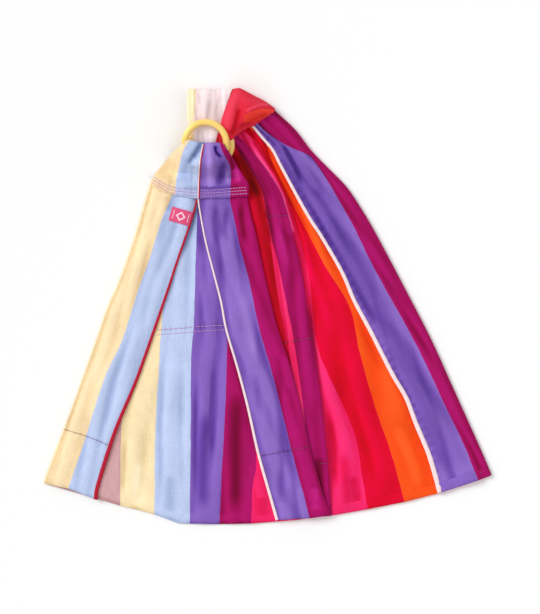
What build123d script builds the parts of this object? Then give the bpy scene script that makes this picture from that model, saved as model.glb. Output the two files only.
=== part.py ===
from build123d import *

import math
import os

# Ring sling baby carrier, threaded and laid flat on a table. All sizes are in millimetres.
#
# One long striped cloth is sewn at one end round two rings. From that sewn loop the front panel
# runs down to the bottom fold, its two long edges turned in as flaps. At the bottom fold the cloth
# turns back under itself and runs up to the shoulder fold, over it and down to the rings, round the
# rear ring and back up, and once more over the shoulder fold to become the free tail.
#
# Frame: +Z up from the table, +Y towards the shoulder fold, +X towards the free tail. The origin is
# the centre of the outline, on the table.

# Overall sizes
overall_width = 668.0
overall_length = 656.0
ply = 2.7  # one spread layer of cloth with its air
gap = 0.6  # clearance between a ring and the cloth beside it

# Rings
ring_outer_diameter = 72.0
ring_tube = 10.0
ring_x = -92.5  # centre of the front ring
shoulder_drop = 84.0  # from the shoulder fold down to the front ring's centre
ring_offset_x = 7.5  # the rear ring lies this much further right
ring_offset_y = 2.0  # and this much lower
ring_lift_deg = 45.0

# The sewn loop that holds both rings
seam_drop = 156.0  # from the shoulder fold down to the loop's lower seam
seam_left = 159.0  # the seam's left end, from the outline's left side
seam_width = 144.0
flap_meeting = 70.0  # where the two flaps meet on the seam, from its left end
sewn_zone = 14.0  # the flat stitched strip above the seam
loop_ply = 3.6  # the gathered cloth of the loop
loop_reach = 2.0  # the loop's apex stands this much above the rings' centre
apex_thickness = 10.0
neck_width = 28.0  # the cloth that passes through the rings

# The threaded band, doubled round the rear ring
band_ply = 5.6
band_turn_reach = 5.0  # the turn's lower edge, above the front ring's centre
band_turn_thickness = 8.0
band_left_step = 10.0  # the band widens by this much to the left above the rings
band_step_rise = 12.0
band_tip_drop = 4.0  # the folded right part of the band hangs this much lower than the turn

# Shoulder fold
fold_left = 218.0  # the fold's left end, from the outline's left side
fold_width = 75.0
fold_depth = 28.0
fold_height = 30.0
fold_radius = 9.0
corner_run = 48.0  # the slanting right end of the fold
corner_drop = 32.0
corner_thickness_x = 9.0
corner_thickness_y = 7.0
layer_inset = 4.0  # the layers under the fold start this much inside it

# Front panel
front_hem_width = 428.0
left_corner_rise = 63.0
right_corner_rise = 11.0
left_flap_width = 78.0
left_flap_drop = 23.0
right_flap_width = 83.0
hem_flat_left = 219.0  # the straight middle of the bottom fold, from the left corner
hem_flat_width = 89.0
return_inset = 6.0
return_bow = 32.0

# Free tail
tail_hidden_width = 114.0  # how far the tail reaches in under the front panel
tail_hidden_rise = 2.0
tail_corner_rise = 75.0
tail_bow = 36.0
tail_flap_width = 76.0
tail_flap_drop = 27.0
tail_flap_bow = 18.0
tail_flap_start_x = 18.0  # the flap's upper end, from the fold's right end
tail_flap_start_drop = 56.0
tail_hem_width = 10.0
hem_thickness = 1.2

# Edge bindings, label and thread
binding_width = 3.0
binding_height = 3.6
label_width = 30.0
label_height = 21.0
label_thickness = 0.9
label_angle = -16.0
label_drop = 38.0  # the label's centre, below the loop's seam
label_margin = 1.6
stitch_length = 3.0
stitch_width = 0.9
stitch_height = 0.6
stitch_pitch = 4.2
seam_rows = 3
seam_margin = 1.6

# Where the seams cross the cloth, as shares of each edge's length from its upper end
left_seam_share = 0.82
right_seam_share = 0.80
centre_seam_drop = 200.0  # the double seam, below the loop's seam
centre_seam_spacing = 7.0
centre_seam_left = 61.0
centre_seam_right = 40.0
return_seams = ((0.26, 20.0), (0.56, 34.0), (0.87, 9.0))  # share along the edge, row length

# Outline
left = -overall_width / 2
right = overall_width / 2
top = overall_length / 2
bottom = -overall_length / 2

# Rings
tube_radius = ring_tube / 2
ring_radius = ring_outer_diameter / 2 - tube_radius
ring_y = top - shoulder_drop
rear_x = ring_x + ring_offset_x
rear_y = ring_y - ring_offset_y

# Heights of the layers, from the table up
tail_top = ply
return_top = 2 * ply
centre_top = 3 * ply
flap_top = 4 * ply
loop_rear_top = return_top + loop_ply
band_rear_top = return_top + band_ply
rear_low_z = loop_rear_top + gap + tube_radius
rear_high_z = band_rear_top + gap + tube_radius
front_low_z = rear_low_z + ring_tube + gap
front_high_z = rear_high_z + ring_tube + band_ply + 2 * gap
rear_tilt = math.degrees(math.asin((rear_high_z - rear_low_z) / (2 * ring_radius)))
front_tilt = math.degrees(math.asin((front_high_z - front_low_z) / (2 * ring_radius)))

# The loop. Its neck clears the front ring's lower arc over the ring's whole lift.
seam_y = top - seam_drop
seam_x0 = left + seam_left
seam_x1 = seam_x0 + seam_width
meeting_x = seam_x0 + flap_meeting
neck_x = (ring_x + rear_x) / 2
neck_reach = (neck_width + ring_offset_x + tube_radius) / 2
arc_rise = ring_radius - math.sqrt(ring_radius**2 - neck_reach**2)
lifted = math.radians(front_tilt + ring_lift_deg)
loop_front_low = front_low_z + tube_radius + gap + arc_rise * math.sin(lifted)
loop_front_top = loop_front_low + loop_ply
loop_shoulder_y = rear_y - ring_radius - tube_radius
apex_y = ring_y + loop_reach
apex_y0 = apex_y - apex_thickness
sewn_top = loop_rear_top + ply

# The band's turn fits the rear ring's bore
turn_y0 = ring_y + band_turn_reach
turn_y1 = turn_y0 + band_turn_thickness
ring_bore = ring_radius - tube_radius - 2 * gap
turn_half = math.sqrt(ring_bore**2 - (turn_y1 - rear_y) ** 2)
band_left = rear_x - turn_half
band_right = rear_x + turn_half
tip_y = turn_y1 - band_tip_drop

# Corners that several layers share
fold_x0 = left + fold_left
fold_x1 = fold_x0 + fold_width
fold_y = top - fold_depth
corner = (fold_x1 + corner_run, top - corner_drop)
corner_in = (corner[0] - corner_thickness_x, corner[1] - corner_thickness_y)
fold_x1_in = fold_x1 + layer_inset
front_x1 = left + front_hem_width
front_left_corner = (left, bottom + left_corner_rise)
left_flap_corner = (left + left_flap_width, bottom + left_corner_rise - left_flap_drop)
right_flap_corner = (front_x1 - right_flap_width, bottom + right_corner_rise)
front_right_corner = (front_x1, bottom + right_corner_rise)
hem_flat_start = (left + hem_flat_left, bottom)
hem_flat_end = (left + hem_flat_left + hem_flat_width, bottom)
tail_corner = (right, bottom + tail_corner_rise)
tail_flap_corner = (right - tail_flap_width, bottom + tail_corner_rise - tail_flap_drop)
tail_flap_inner = (tail_flap_corner[0] + binding_width, tail_flap_corner[1])
tail_flap_top = (fold_x1 + tail_flap_start_x, top - tail_flap_start_drop)
tail_flap_top_inner = (tail_flap_top[0] + binding_width, tail_flap_top[1])
tail_hidden_corner = (front_x1 - tail_hidden_width, bottom + right_corner_rise + tail_hidden_rise)

loop_outline = [
    (seam_x0, seam_y),
    (seam_x1, seam_y),
    (seam_x1, seam_y + sewn_zone),
    (neck_x + neck_width / 2, loop_shoulder_y),
    (neck_x + neck_width / 2, apex_y0),
    (neck_x - neck_width / 2, apex_y0),
    (neck_x - neck_width / 2, loop_shoulder_y),
    (seam_x0, seam_y + sewn_zone),
]


def front_ring_plane(y, offset):
    """Height of the front ring's middle plane at y, moved up by offset."""
    return (front_low_z + front_high_z) / 2 + (y - ring_y) * math.tan(math.radians(front_tilt)) + offset


def rear_ring_plane(y, offset):
    """Height of the rear ring's middle plane at y, moved up by offset."""
    return (rear_low_z + rear_high_z) / 2 + (y - rear_y) * math.tan(math.radians(rear_tilt)) + offset


def along(start, end, share):
    """The point a share of the way from start to end."""
    return (start[0] + share * (end[0] - start[0]), start[1] + share * (end[1] - start[1]))


def polygon(points, height, thickness):
    """A flat plate with straight sides, from height up. Call it inside a BuildPart block."""
    with BuildSketch(Plane.XY.offset(height)) as plate:
        with BuildLine():
            Polyline(*points, close=True)
        make_face()
    extrude(plate.sketch, amount=thickness)


def stitch_row(start, end, height):
    """A row of thread stitches lying at a height. Call it inside a BuildPart block."""
    count = max(1, int(math.dist(start, end) // stitch_pitch))
    angle = math.degrees(math.atan2(end[1] - start[1], end[0] - start[0]))
    for i in range(count):
        x, y = along(start, end, (i + 0.5) / count)
        with Locations(Location((x, y, height), (0, 0, angle))):
            Box(stitch_length, stitch_width, stitch_height, align=(Align.CENTER, Align.CENTER, Align.MIN))


# ---- Rings ---------------------------------------------------------------------------------------
with BuildPart() as front_ring:
    with Locations(Location((ring_x, ring_y, front_ring_plane(ring_y, 0)), (front_tilt, 0, 0))):
        Torus(ring_radius, tube_radius)

with BuildPart() as rear_ring:
    with Locations(Location((rear_x, rear_y, rear_ring_plane(rear_y, 0)), (rear_tilt, 0, 0))):
        Torus(ring_radius, tube_radius)

# ---- Free tail: the lowest layer -------------------------------------------------------------------
with BuildPart() as tail_panel:
    with BuildSketch():
        with BuildLine():
            SagittaArc(corner, tail_corner, tail_bow)
            Polyline(
                tail_corner,
                tail_flap_corner,
                front_right_corner,
                tail_hidden_corner,
                (meeting_x + layer_inset, seam_y),
                (fold_x0 + layer_inset, fold_y),
                (fold_x1, fold_y),
                corner_in,
                corner,
            )
        make_face()
    extrude(amount=tail_top)

with BuildPart() as tail_edge_flap:
    with BuildSketch(Plane.XY.offset(tail_top)):
        with BuildLine():
            SagittaArc(corner, tail_corner, tail_bow)
            Line(tail_corner, tail_flap_inner)
            SagittaArc(tail_flap_inner, tail_flap_top_inner, -tail_flap_bow)
            Polyline(tail_flap_top_inner, corner_in, corner)
        make_face()
    extrude(amount=ply)

with BuildPart() as tail_pink_binding:
    with BuildSketch(Plane.XY.offset(tail_top)):
        with BuildLine():
            SagittaArc(tail_flap_top, tail_flap_corner, tail_flap_bow)
            Line(tail_flap_corner, tail_flap_inner)
            SagittaArc(tail_flap_inner, tail_flap_top_inner, -tail_flap_bow)
            Line(tail_flap_top_inner, tail_flap_top)
        make_face()
    extrude(amount=binding_height)

hem_start = along(front_right_corner, tail_flap_corner, 0.06)
hem_end = along(front_right_corner, tail_flap_corner, 0.985)
hem_start_in = (hem_start[0], hem_start[1] + tail_hem_width)
hem_end_in = (hem_end[0] - layer_inset, hem_end[1] + tail_hem_width)
with BuildPart() as tail_hem:
    polygon([hem_start, hem_end, hem_end_in, hem_start_in], tail_top, hem_thickness)

with BuildPart() as tail_hem_stitching:
    row_start = along(hem_start_in, hem_start, 0.2)
    row_end = along(hem_end_in, hem_end, 0.2)
    stitch_row(along(row_start, row_end, 0.01), along(row_start, row_end, 0.98), tail_top + hem_thickness)

# ---- Body return: from the bottom fold up to the shoulder fold --------------------------------------
with BuildPart() as body_return_panel:
    with BuildSketch():
        with BuildLine():
            return_edge = SagittaArc((fold_x1_in, fold_y), front_right_corner, return_bow)
            Polyline(
                front_right_corner,
                right_flap_corner,
                hem_flat_end,
                hem_flat_start,
                left_flap_corner,
                (front_left_corner[0] + return_inset, front_left_corner[1]),
                (seam_x0 + return_inset, seam_y),
                (fold_x0 + layer_inset / 2, fold_y),
                (fold_x1_in, fold_y),
            )
        make_face()
    extrude(amount=return_top)
    with BuildSketch():
        add(tail_panel.faces().sort_by(Axis.Z)[0])
    extrude(amount=tail_top, mode=Mode.SUBTRACT)

with BuildPart() as body_seam_stitching:
    for share, length in return_seams:
        edge_point = return_edge @ share
        row_end = (edge_point.X - binding_width, edge_point.Y)
        stitch_row((row_end[0] - length, row_end[1] - 0.1 * length), row_end, return_top)

# ---- Front panel -----------------------------------------------------------------------------------
with BuildPart() as front_centre_panel:
    front_outline = [
        (seam_x0, seam_y),
        front_left_corner,
        left_flap_corner,
        hem_flat_start,
        hem_flat_end,
        right_flap_corner,
        front_right_corner,
        (seam_x1, seam_y),
    ]
    polygon(front_outline, return_top, ply)

# The inner edge of each flap, with its binding
left_binding_top = (meeting_x - binding_width, seam_y)
left_binding_end = (left_flap_corner[0] - binding_width, left_flap_corner[1])
right_binding_top = (meeting_x + binding_width, seam_y)
right_binding_end = (right_flap_corner[0] + binding_width, right_flap_corner[1])
meeting = (meeting_x, seam_y)

with BuildPart() as front_left_flap:
    polygon([(seam_x0, seam_y), front_left_corner, left_binding_end, left_binding_top], centre_top, ply)

with BuildPart() as red_edge_binding:
    polygon([left_binding_top, left_binding_end, left_flap_corner, meeting], centre_top, binding_height)

with BuildPart() as front_right_flap:
    polygon([right_binding_top, right_binding_end, front_right_corner, (seam_x1, seam_y)], centre_top, ply)

with BuildPart() as front_pink_binding:
    polygon([meeting, right_flap_corner, right_binding_end, right_binding_top], centre_top, binding_height)

# ---- Seams across the front panel ---------------------------------------------------------------------
with BuildPart() as left_flap_seam_stitching:
    outer = along((seam_x0, seam_y), front_left_corner, left_seam_share)
    inner = along(meeting, left_flap_corner, left_seam_share)
    stitch_row(along(outer, inner, 0.03), along(outer, inner, 0.94), flap_top)

with BuildPart() as right_flap_seam_stitching:
    inner = along(meeting, right_flap_corner, right_seam_share)
    outer = along((seam_x1, seam_y), front_right_corner, right_seam_share - 0.025)
    stitch_row(along(inner, outer, 0.06), along(inner, outer, 0.98), flap_top)

with BuildPart() as centre_seam_stitching:
    for row in range(2):
        y = seam_y - centre_seam_drop - row * centre_seam_spacing
        stitch_row((meeting_x - centre_seam_left, y), (meeting_x + centre_seam_right, y + ply), centre_top)

# ---- Sewn loop round the rings ------------------------------------------------------------------------
with BuildPart() as ring_loop_rear_ply:
    polygon(loop_outline, return_top, loop_ply)

with BuildPart() as ring_loop_front_ply:
    polygon(loop_outline, 0, loop_front_top)
    with BuildSketch(Plane.YZ.offset(left)):
        with BuildLine():
            Polyline(
                (seam_y, loop_rear_top),
                (seam_y + sewn_zone, loop_rear_top),
                (loop_shoulder_y, loop_front_low),
                (apex_y0, loop_front_low),
                (apex_y0, loop_front_top),
                (loop_shoulder_y - ply, loop_front_top),
                (seam_y + sewn_zone - ply, sewn_top),
                (seam_y, sewn_top),
                close=True,
            )
        make_face()
    extrude(amount=overall_width, mode=Mode.INTERSECT)

with BuildPart() as ring_loop_apex:
    apex_height = loop_front_top - return_top
    with Locations((neck_x, apex_y - apex_thickness / 2, return_top)):
        Box(neck_width, apex_thickness, apex_height, align=(Align.CENTER, Align.CENTER, Align.MIN))
    fillet(ring_loop_apex.edges().filter_by(Axis.X).group_by(Axis.Y)[-1], radius=0.4 * apex_thickness)

with BuildPart() as loop_seam_stitching:
    first_row = seam_y + seam_margin
    row_spacing = (sewn_zone - ply - 2 * seam_margin) / (seam_rows - 1)
    for row in range(seam_rows):
        y = first_row + row * row_spacing
        stitch_row((seam_x0 + binding_width, y), (seam_x1 - binding_width, y), sewn_top)

# ---- Threaded band: up and over the shoulder fold -------------------------------------------------------
with BuildPart() as threaded_band_rear:
    rear_outline = [
        (band_left, turn_y1),
        (band_right, turn_y1),
        (fold_x1, fold_y),
        (fold_x0, fold_y),
        (band_left - band_left_step, turn_y1 + band_step_rise),
    ]
    polygon(rear_outline, return_top, band_ply)

with BuildPart() as threaded_band_turn:
    turn_height = front_ring_plane(turn_y0, -tube_radius - gap) - return_top
    with Locations((rear_x, (turn_y0 + turn_y1) / 2, return_top)):
        Box(2 * turn_half, band_turn_thickness, turn_height, align=(Align.CENTER, Align.CENTER, Align.MIN))
    lower_edges = threaded_band_turn.edges().filter_by(Axis.X).group_by(Axis.Y)[0]
    fillet(lower_edges, radius=0.4 * band_turn_thickness)

with BuildPart() as threaded_band_front:
    leg_outline = [
        (band_left, turn_y1),
        (band_right, turn_y1),
        (rear_x + ring_radius + tube_radius, tip_y),
        corner_in,
        (fold_x1_in, fold_y),
        (fold_x0, fold_y),
        (band_left - band_left_step, turn_y1 + band_step_rise),
    ]
    polygon(leg_outline, 0, 2 * fold_height)
    with BuildSketch(Plane.YZ.offset(left)):
        with BuildLine():
            Polyline(
                (tip_y, rear_ring_plane(tip_y, tube_radius + gap)),
                (tip_y, front_ring_plane(tip_y, -tube_radius - gap)),
                (fold_y, front_ring_plane(fold_y, -tube_radius - gap)),
                (fold_y, rear_ring_plane(fold_y, tube_radius + gap)),
                close=True,
            )
        make_face()
    extrude(amount=overall_width, mode=Mode.INTERSECT)

with BuildPart() as shoulder_fold:
    polygon(
        [(fold_x0, fold_y), (fold_x0, top), (fold_x1, top), corner, corner_in, (fold_x1_in, fold_y)],
        0,
        fold_height,
    )
    with BuildSketch():
        add(tail_panel.faces().sort_by(Axis.Z)[0])
    extrude(amount=fold_height, mode=Mode.SUBTRACT)
    fillet(shoulder_fold.edges().filter_by(Axis.X).group_by(Axis.Y)[-1], radius=fold_radius)

# ---- Label -----------------------------------------------------------------------------------------------
label_turn = math.radians(label_angle)
label_reach = (label_width * math.cos(label_turn) - label_height * math.sin(label_turn)) / 2
label_x = along(meeting, left_flap_corner, label_drop / (seam_y - left_flap_corner[1]))[0]
label_x = label_x - binding_width - label_reach
label_y = seam_y - label_drop
with BuildPart() as woven_label:
    with Locations(Location((label_x, label_y, flap_top), (0, 0, label_angle))):
        Box(label_width, label_height, label_thickness, align=(Align.CENTER, Align.CENTER, Align.MIN))


def on_label(x, y):
    """A point on the label, from its centre, in the sling's frame."""
    return (
        label_x + x * math.cos(label_turn) - y * math.sin(label_turn),
        label_y + x * math.sin(label_turn) + y * math.cos(label_turn),
    )


with BuildPart() as label_stitching:
    reach_x = label_width / 2 - label_margin
    reach_y = label_height / 2 - label_margin
    for side in (-1, 1):
        row_y = side * reach_y
        stitch_row(on_label(-reach_x, row_y), on_label(reach_x, row_y), flap_top + label_thickness)

pieces = {
    "front_ring": front_ring,
    "rear_ring": rear_ring,
    "tail_panel": tail_panel,
    "tail_edge_flap": tail_edge_flap,
    "tail_pink_binding": tail_pink_binding,
    "tail_hem": tail_hem,
    "tail_hem_stitching": tail_hem_stitching,
    "body_return_panel": body_return_panel,
    "body_seam_stitching": body_seam_stitching,
    "front_centre_panel": front_centre_panel,
    "front_left_flap": front_left_flap,
    "red_edge_binding": red_edge_binding,
    "front_right_flap": front_right_flap,
    "front_pink_binding": front_pink_binding,
    "left_flap_seam_stitching": left_flap_seam_stitching,
    "right_flap_seam_stitching": right_flap_seam_stitching,
    "centre_seam_stitching": centre_seam_stitching,
    "ring_loop_rear_ply": ring_loop_rear_ply,
    "ring_loop_front_ply": ring_loop_front_ply,
    "ring_loop_apex": ring_loop_apex,
    "loop_seam_stitching": loop_seam_stitching,
    "threaded_band_rear": threaded_band_rear,
    "threaded_band_turn": threaded_band_turn,
    "threaded_band_front": threaded_band_front,
    "shoulder_fold": shoulder_fold,
    "woven_label": woven_label,
    "label_stitching": label_stitching,
}

os.makedirs("parts", exist_ok=True)
for name, piece in pieces.items():
    piece.part.label = name
    export_step(piece.part, f"parts/{name}.step")

hinge_y = ring_y - ring_radius * math.cos(math.radians(front_tilt))
print(f"front ring: centre {ring_x:.3f}, {ring_y:.3f}, {front_ring_plane(ring_y, 0):.3f}, tilt {front_tilt:.3f}")
print(f"front ring hinge: y {hinge_y:.3f}, z {front_low_z:.3f}")
print(f"rear ring: centre {rear_x:.3f}, {rear_y:.3f}, {rear_ring_plane(rear_y, 0):.3f}, tilt {rear_tilt:.3f}")
print(f"loop apex: y {apex_y:.3f}, top {loop_front_top:.3f}")
print(f"band: turn {turn_y0:.2f} to {turn_y1:.2f}, top at the turn {front_ring_plane(turn_y1, -tube_radius - gap):.2f}")
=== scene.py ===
"""A ring sling laid out flat: striped cloth, two rings, bindings, seams and a woven label."""
import logging
import math
from dataclasses import dataclass, field
from enum import Enum

import bpy
import numpy as np
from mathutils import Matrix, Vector


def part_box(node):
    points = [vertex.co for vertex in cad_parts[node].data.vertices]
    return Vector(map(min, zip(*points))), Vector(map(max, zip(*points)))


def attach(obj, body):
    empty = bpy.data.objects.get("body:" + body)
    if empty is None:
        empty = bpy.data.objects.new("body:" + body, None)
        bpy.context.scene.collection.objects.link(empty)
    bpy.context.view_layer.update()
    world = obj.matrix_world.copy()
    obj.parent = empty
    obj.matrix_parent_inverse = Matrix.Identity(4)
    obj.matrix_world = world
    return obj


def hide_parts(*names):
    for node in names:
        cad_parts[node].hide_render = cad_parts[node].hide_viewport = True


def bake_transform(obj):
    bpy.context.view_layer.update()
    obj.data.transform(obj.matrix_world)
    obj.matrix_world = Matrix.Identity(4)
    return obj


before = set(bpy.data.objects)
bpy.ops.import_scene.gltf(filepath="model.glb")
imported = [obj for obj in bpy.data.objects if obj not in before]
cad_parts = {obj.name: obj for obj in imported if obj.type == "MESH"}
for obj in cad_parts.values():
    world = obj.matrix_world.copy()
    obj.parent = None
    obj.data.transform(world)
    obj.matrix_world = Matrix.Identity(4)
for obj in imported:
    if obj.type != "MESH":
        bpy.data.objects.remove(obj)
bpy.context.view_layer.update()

MM = 0.001
LOG = logging.getLogger("sling")
Points = list[tuple[float, float]]


# --------------------------------------------------------------------------- node trees

class Bench:
    """Adds nodes to one node tree."""

    def __init__(self, tree: bpy.types.NodeTree) -> None:
        """Keep the tree that the nodes go into.

        Args:
            tree: a shader or geometry node tree.
        """
        self.tree = tree

    def node(self, kind: str, settings: dict | None = None, inputs: dict | None = None) -> bpy.types.Node:
        """Add one node.

        Args:
            kind: the node's type name.
            settings: properties set before the sockets; "stops" fills a colour ramp.
            inputs: socket name or number to a value, a Wire or an output socket.

        Returns:
            The node.
        """
        made = self.tree.nodes.new(kind)
        for key, value in (settings or {}).items():
            if key == "stops":
                self._fill_ramp(made.color_ramp, value)
            else:
                setattr(made, key, value)
        self.feed(made, inputs or {})
        return made

    def feed(self, node: bpy.types.Node, inputs: dict) -> None:
        """Link or set a node's sockets.

        Args:
            node: the node.
            inputs: socket name or number to a value, a Wire or an output socket.
        """
        for key, value in inputs.items():
            socket = node.inputs[key]
            if isinstance(value, Wire):
                self.tree.links.new(value.socket, socket)
            elif isinstance(value, bpy.types.NodeSocket):
                self.tree.links.new(value, socket)
            else:
                socket.default_value = value

    def wire(self, kind: str, settings: dict | None = None, inputs: dict | None = None,
             out: int | str = 0) -> "Wire":
        """Add one node and return one of its outputs, ready for arithmetic."""
        return Wire(self, self.node(kind, settings, inputs).outputs[out])

    def noise(self, place: "Wire", scale: float, detail: float, **more: float) -> "Wire":
        """Flat noise, from 0 to 1, over a place on the cloth."""
        return self.wire("ShaderNodeTexNoise", {"noise_dimensions": "2D"},
                         {"Vector": place, "Scale": scale, "Detail": detail, **more})

    def blended(self, share: "Wire", first: "Wire | tuple", second: "Wire | tuple") -> "Wire":
        """One colour that gives way to another as the share rises from 0 to 1."""
        return self.wire("ShaderNodeMix", {"data_type": "RGBA"}, {"Factor": share, 6: first, 7: second},
                         out=2)

    @staticmethod
    def _fill_ramp(ramp: bpy.types.ColorRamp, stops: list[tuple[float, tuple]]) -> None:
        """Put the stops on a colour ramp, in order.

        Args:
            ramp: the ramp.
            stops: place and colour of each stop.
        """
        while len(ramp.elements) < len(stops):
            ramp.elements.new(1.0)
        for element, (place, _) in zip(ramp.elements, stops):
            element.position = place
        for element, (_, colour) in zip(ramp.elements, stops):
            element.color = (*colour[:3], 1.0)


class Wire:
    """An output socket that takes part in arithmetic."""

    def __init__(self, bench: Bench, socket: bpy.types.NodeSocket) -> None:
        """Wrap a socket of the bench's tree."""
        self.bench, self.socket = bench, socket

    def _math(self, operation: str, *values: "Wire | float") -> "Wire":
        """Add a Math node on the values."""
        return self.bench.wire("ShaderNodeMath", {"operation": operation}, dict(enumerate(values)))

    def __add__(self, other: "Wire | float") -> "Wire":
        """Sum."""
        return self._math("ADD", self, other)

    __radd__ = __add__

    def __mul__(self, other: "Wire | float") -> "Wire":
        """Product."""
        return self._math("MULTIPLY", self, other)

    __rmul__ = __mul__

    def __sub__(self, other: "Wire | float") -> "Wire":
        """Difference."""
        return self._math("SUBTRACT", self, other)

    def __rsub__(self, other: float) -> "Wire":
        """Difference from a number."""
        return self._math("SUBTRACT", other, self)

    def __truediv__(self, other: "Wire | float") -> "Wire":
        """Quotient."""
        return self._math("DIVIDE", self, other)

    def __lt__(self, other: "Wire | float") -> "Wire":
        """1 where this is less than the other."""
        return self._math("LESS_THAN", self, other)

    def __gt__(self, other: "Wire | float") -> "Wire":
        """1 where this is more than the other."""
        return self._math("GREATER_THAN", self, other)

    def __abs__(self) -> "Wire":
        """Size without sign."""
        return self._math("ABSOLUTE", self)

    def sine(self) -> "Wire":
        """Sine."""
        return self._math("SINE", self)

    def between(self, low: float, high: float) -> "Wire":
        """This, held between two limits."""
        return self._math("MINIMUM", self._math("MAXIMUM", self, low), high)


def dyed(red: int, green: int, blue: int) -> tuple[float, float, float]:
    """A dye as it looks in daylight, as linear light.

    Args:
        red: 0 to 255.
        green: 0 to 255.
        blue: 0 to 255.

    Returns:
        Linear red, green and blue.
    """
    def linear(c: float) -> float:
        """One channel from display to linear."""
        return c / 12.92 if c <= 0.04045 else ((c + 0.055) / 1.055) ** 2.4
    return tuple(linear(c / 255) for c in (red, green, blue))


# --------------------------------------------------------------------------- finishes

def new_material(name: str) -> tuple[bpy.types.Material, Bench, bpy.types.Node]:
    """An empty material with its shader.

    Args:
        name: the material's name.

    Returns:
        The material, its bench and its Principled shader.
    """
    material = bpy.data.materials.new(name)
    material.use_nodes = True
    material.node_tree.nodes.clear()
    bench = Bench(material.node_tree)
    shader = bench.node("ShaderNodeBsdfPrincipled")
    bench.node("ShaderNodeOutputMaterial", inputs={"Surface": shader.outputs[0]})
    return material, bench, shader


def tinted(bench: Bench, colour: Wire, amount: Wire | float) -> Wire:
    """A colour made lighter or darker.

    Args:
        bench: the tree's bench.
        colour: the colour.
        amount: 1 keeps it, less darkens it.

    Returns:
        The changed colour.
    """
    return bench.wire("ShaderNodeHueSaturation", inputs={"Color": colour, "Value": amount})


@dataclass(frozen=True)
class StripedCloth:
    """Woven cotton with lengthwise stripes of equal width, dyed a little apart on its two faces."""

    width: float = 0.70
    face: tuple = (
        (196, 211, 246), (255, 232, 188), (216, 170, 172), (255, 232, 186), (196, 211, 246), (140, 103, 196),
        (178, 16, 104), (250, 38, 108), (228, 0, 46), (255, 84, 24), (228, 0, 46), (250, 38, 108),
        (178, 16, 104), (140, 103, 196))
    reverse: tuple = (
        (190, 206, 242), (254, 226, 180), (246, 224, 226), (254, 226, 180), (190, 206, 242), (138, 103, 194),
        (176, 14, 100), (250, 50, 116), (222, 38, 60), (255, 66, 54), (218, 0, 56), (250, 50, 116),
        (170, 10, 96), (136, 101, 192))
    thread: float = 0.0011
    wander: float = 0.0016  # how far a stripe's edge strays, in metres
    shade_dye_depth: float = 0.50  # how much painted shade in folds deepens the dye; below 0, painted highlight pales it
    shade_darkening: float = 0.30  # how much painted shade darkens it, and painted highlight lightens it
    relief: float = 0.30

    def stops(self, dyes: tuple) -> list[tuple[float, tuple]]:
        """Colour ramp stops for one face's dyes."""
        return [(k / len(dyes), dyed(*dye)) for k, dye in enumerate(dyes)]

    def material(self) -> bpy.types.Material:
        """The cloth's material, on its UV map in metres, its attribute reverse and its attribute of painted
        shade, which darkens the dye in folds and pales it as painted highlight on ridges.

        Returns:
            The material.
        """
        material, bench, shader = new_material("striped_cloth")
        uv = bench.wire("ShaderNodeUVMap", {"uv_map": "Cloth"})
        parts = bench.node("ShaderNodeSeparateXYZ", inputs={"Vector": uv})
        across, along = Wire(bench, parts.outputs[0]), Wire(bench, parts.outputs[1])
        wander = bench.noise(uv, 38.0, 2.0)
        place = (across + (wander - 0.5) * self.wander) / self.width
        dyes = [bench.wire("ShaderNodeValToRGB", {"stops": self.stops(d)}, {"Fac": place})
                for d in (self.face, self.reverse)]
        for dye in dyes:
            dye.socket.node.color_ramp.interpolation = "CONSTANT"
        side = bench.wire("ShaderNodeAttribute", {"attribute_name": "reverse"}, out="Fac")
        colour = bench.blended(side, dyes[0], dyes[1])
        slub, cross, rumple = [
            bench.noise(bench.wire("ShaderNodeCombineXYZ", inputs={0: across * wide, 1: along * long}),
                        1.0, detail, **more)
            for wide, long, detail, more in ((1400, 60, 3.0, {}), (70, 1300, 2.0, {}),
                                             (46, 17, 4.0, {"Distortion": 0.8}))]
        wash = bench.noise(uv, 17.0, 4.0)
        wrinkle = 1.0 - (abs(rumple - 0.5) * 6.0).between(0.0, 1.0)
        # painted shade (above 0) and painted highlight (below 0), baked on the mesh
        shade_paint = bench.wire("ShaderNodeAttribute", {"attribute_name": "shade_paint"}, out="Fac")
        value = 0.94 + (slub - 0.5) * 0.26 + (cross - 0.5) * 0.20 + (wash - 0.5) * 0.22
        # painted shade: above 0 the gamma deepens the dye and the value darkens it; below 0 both pale it as
        # painted highlight
        shaded_colour = bench.wire("ShaderNodeGamma", inputs={"Color": colour,
                                                         "Gamma": 1.0 + shade_paint * self.shade_dye_depth})
        turn = 2 * math.pi / self.thread
        threads = (across * turn).sine() * (along * turn).sine()
        height = threads * 0.5 + slub * 0.9 + cross * 0.7 + wrinkle * 1.6 + rumple * 5.0
        bump = bench.wire("ShaderNodeBump", inputs={"Height": height, "Strength": self.relief,
                                                    "Distance": 0.0004})
        bench.feed(shader, {"Base Color": tinted(bench, shaded_colour, value - shade_paint * self.shade_darkening),
                            "Roughness": 0.80 + (slub - 0.5) * 0.2, "Normal": bump, "Sheen Weight": 0.04,
                            "Sheen Roughness": 0.5, "Specular IOR Level": 0.10})
        return material


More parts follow.
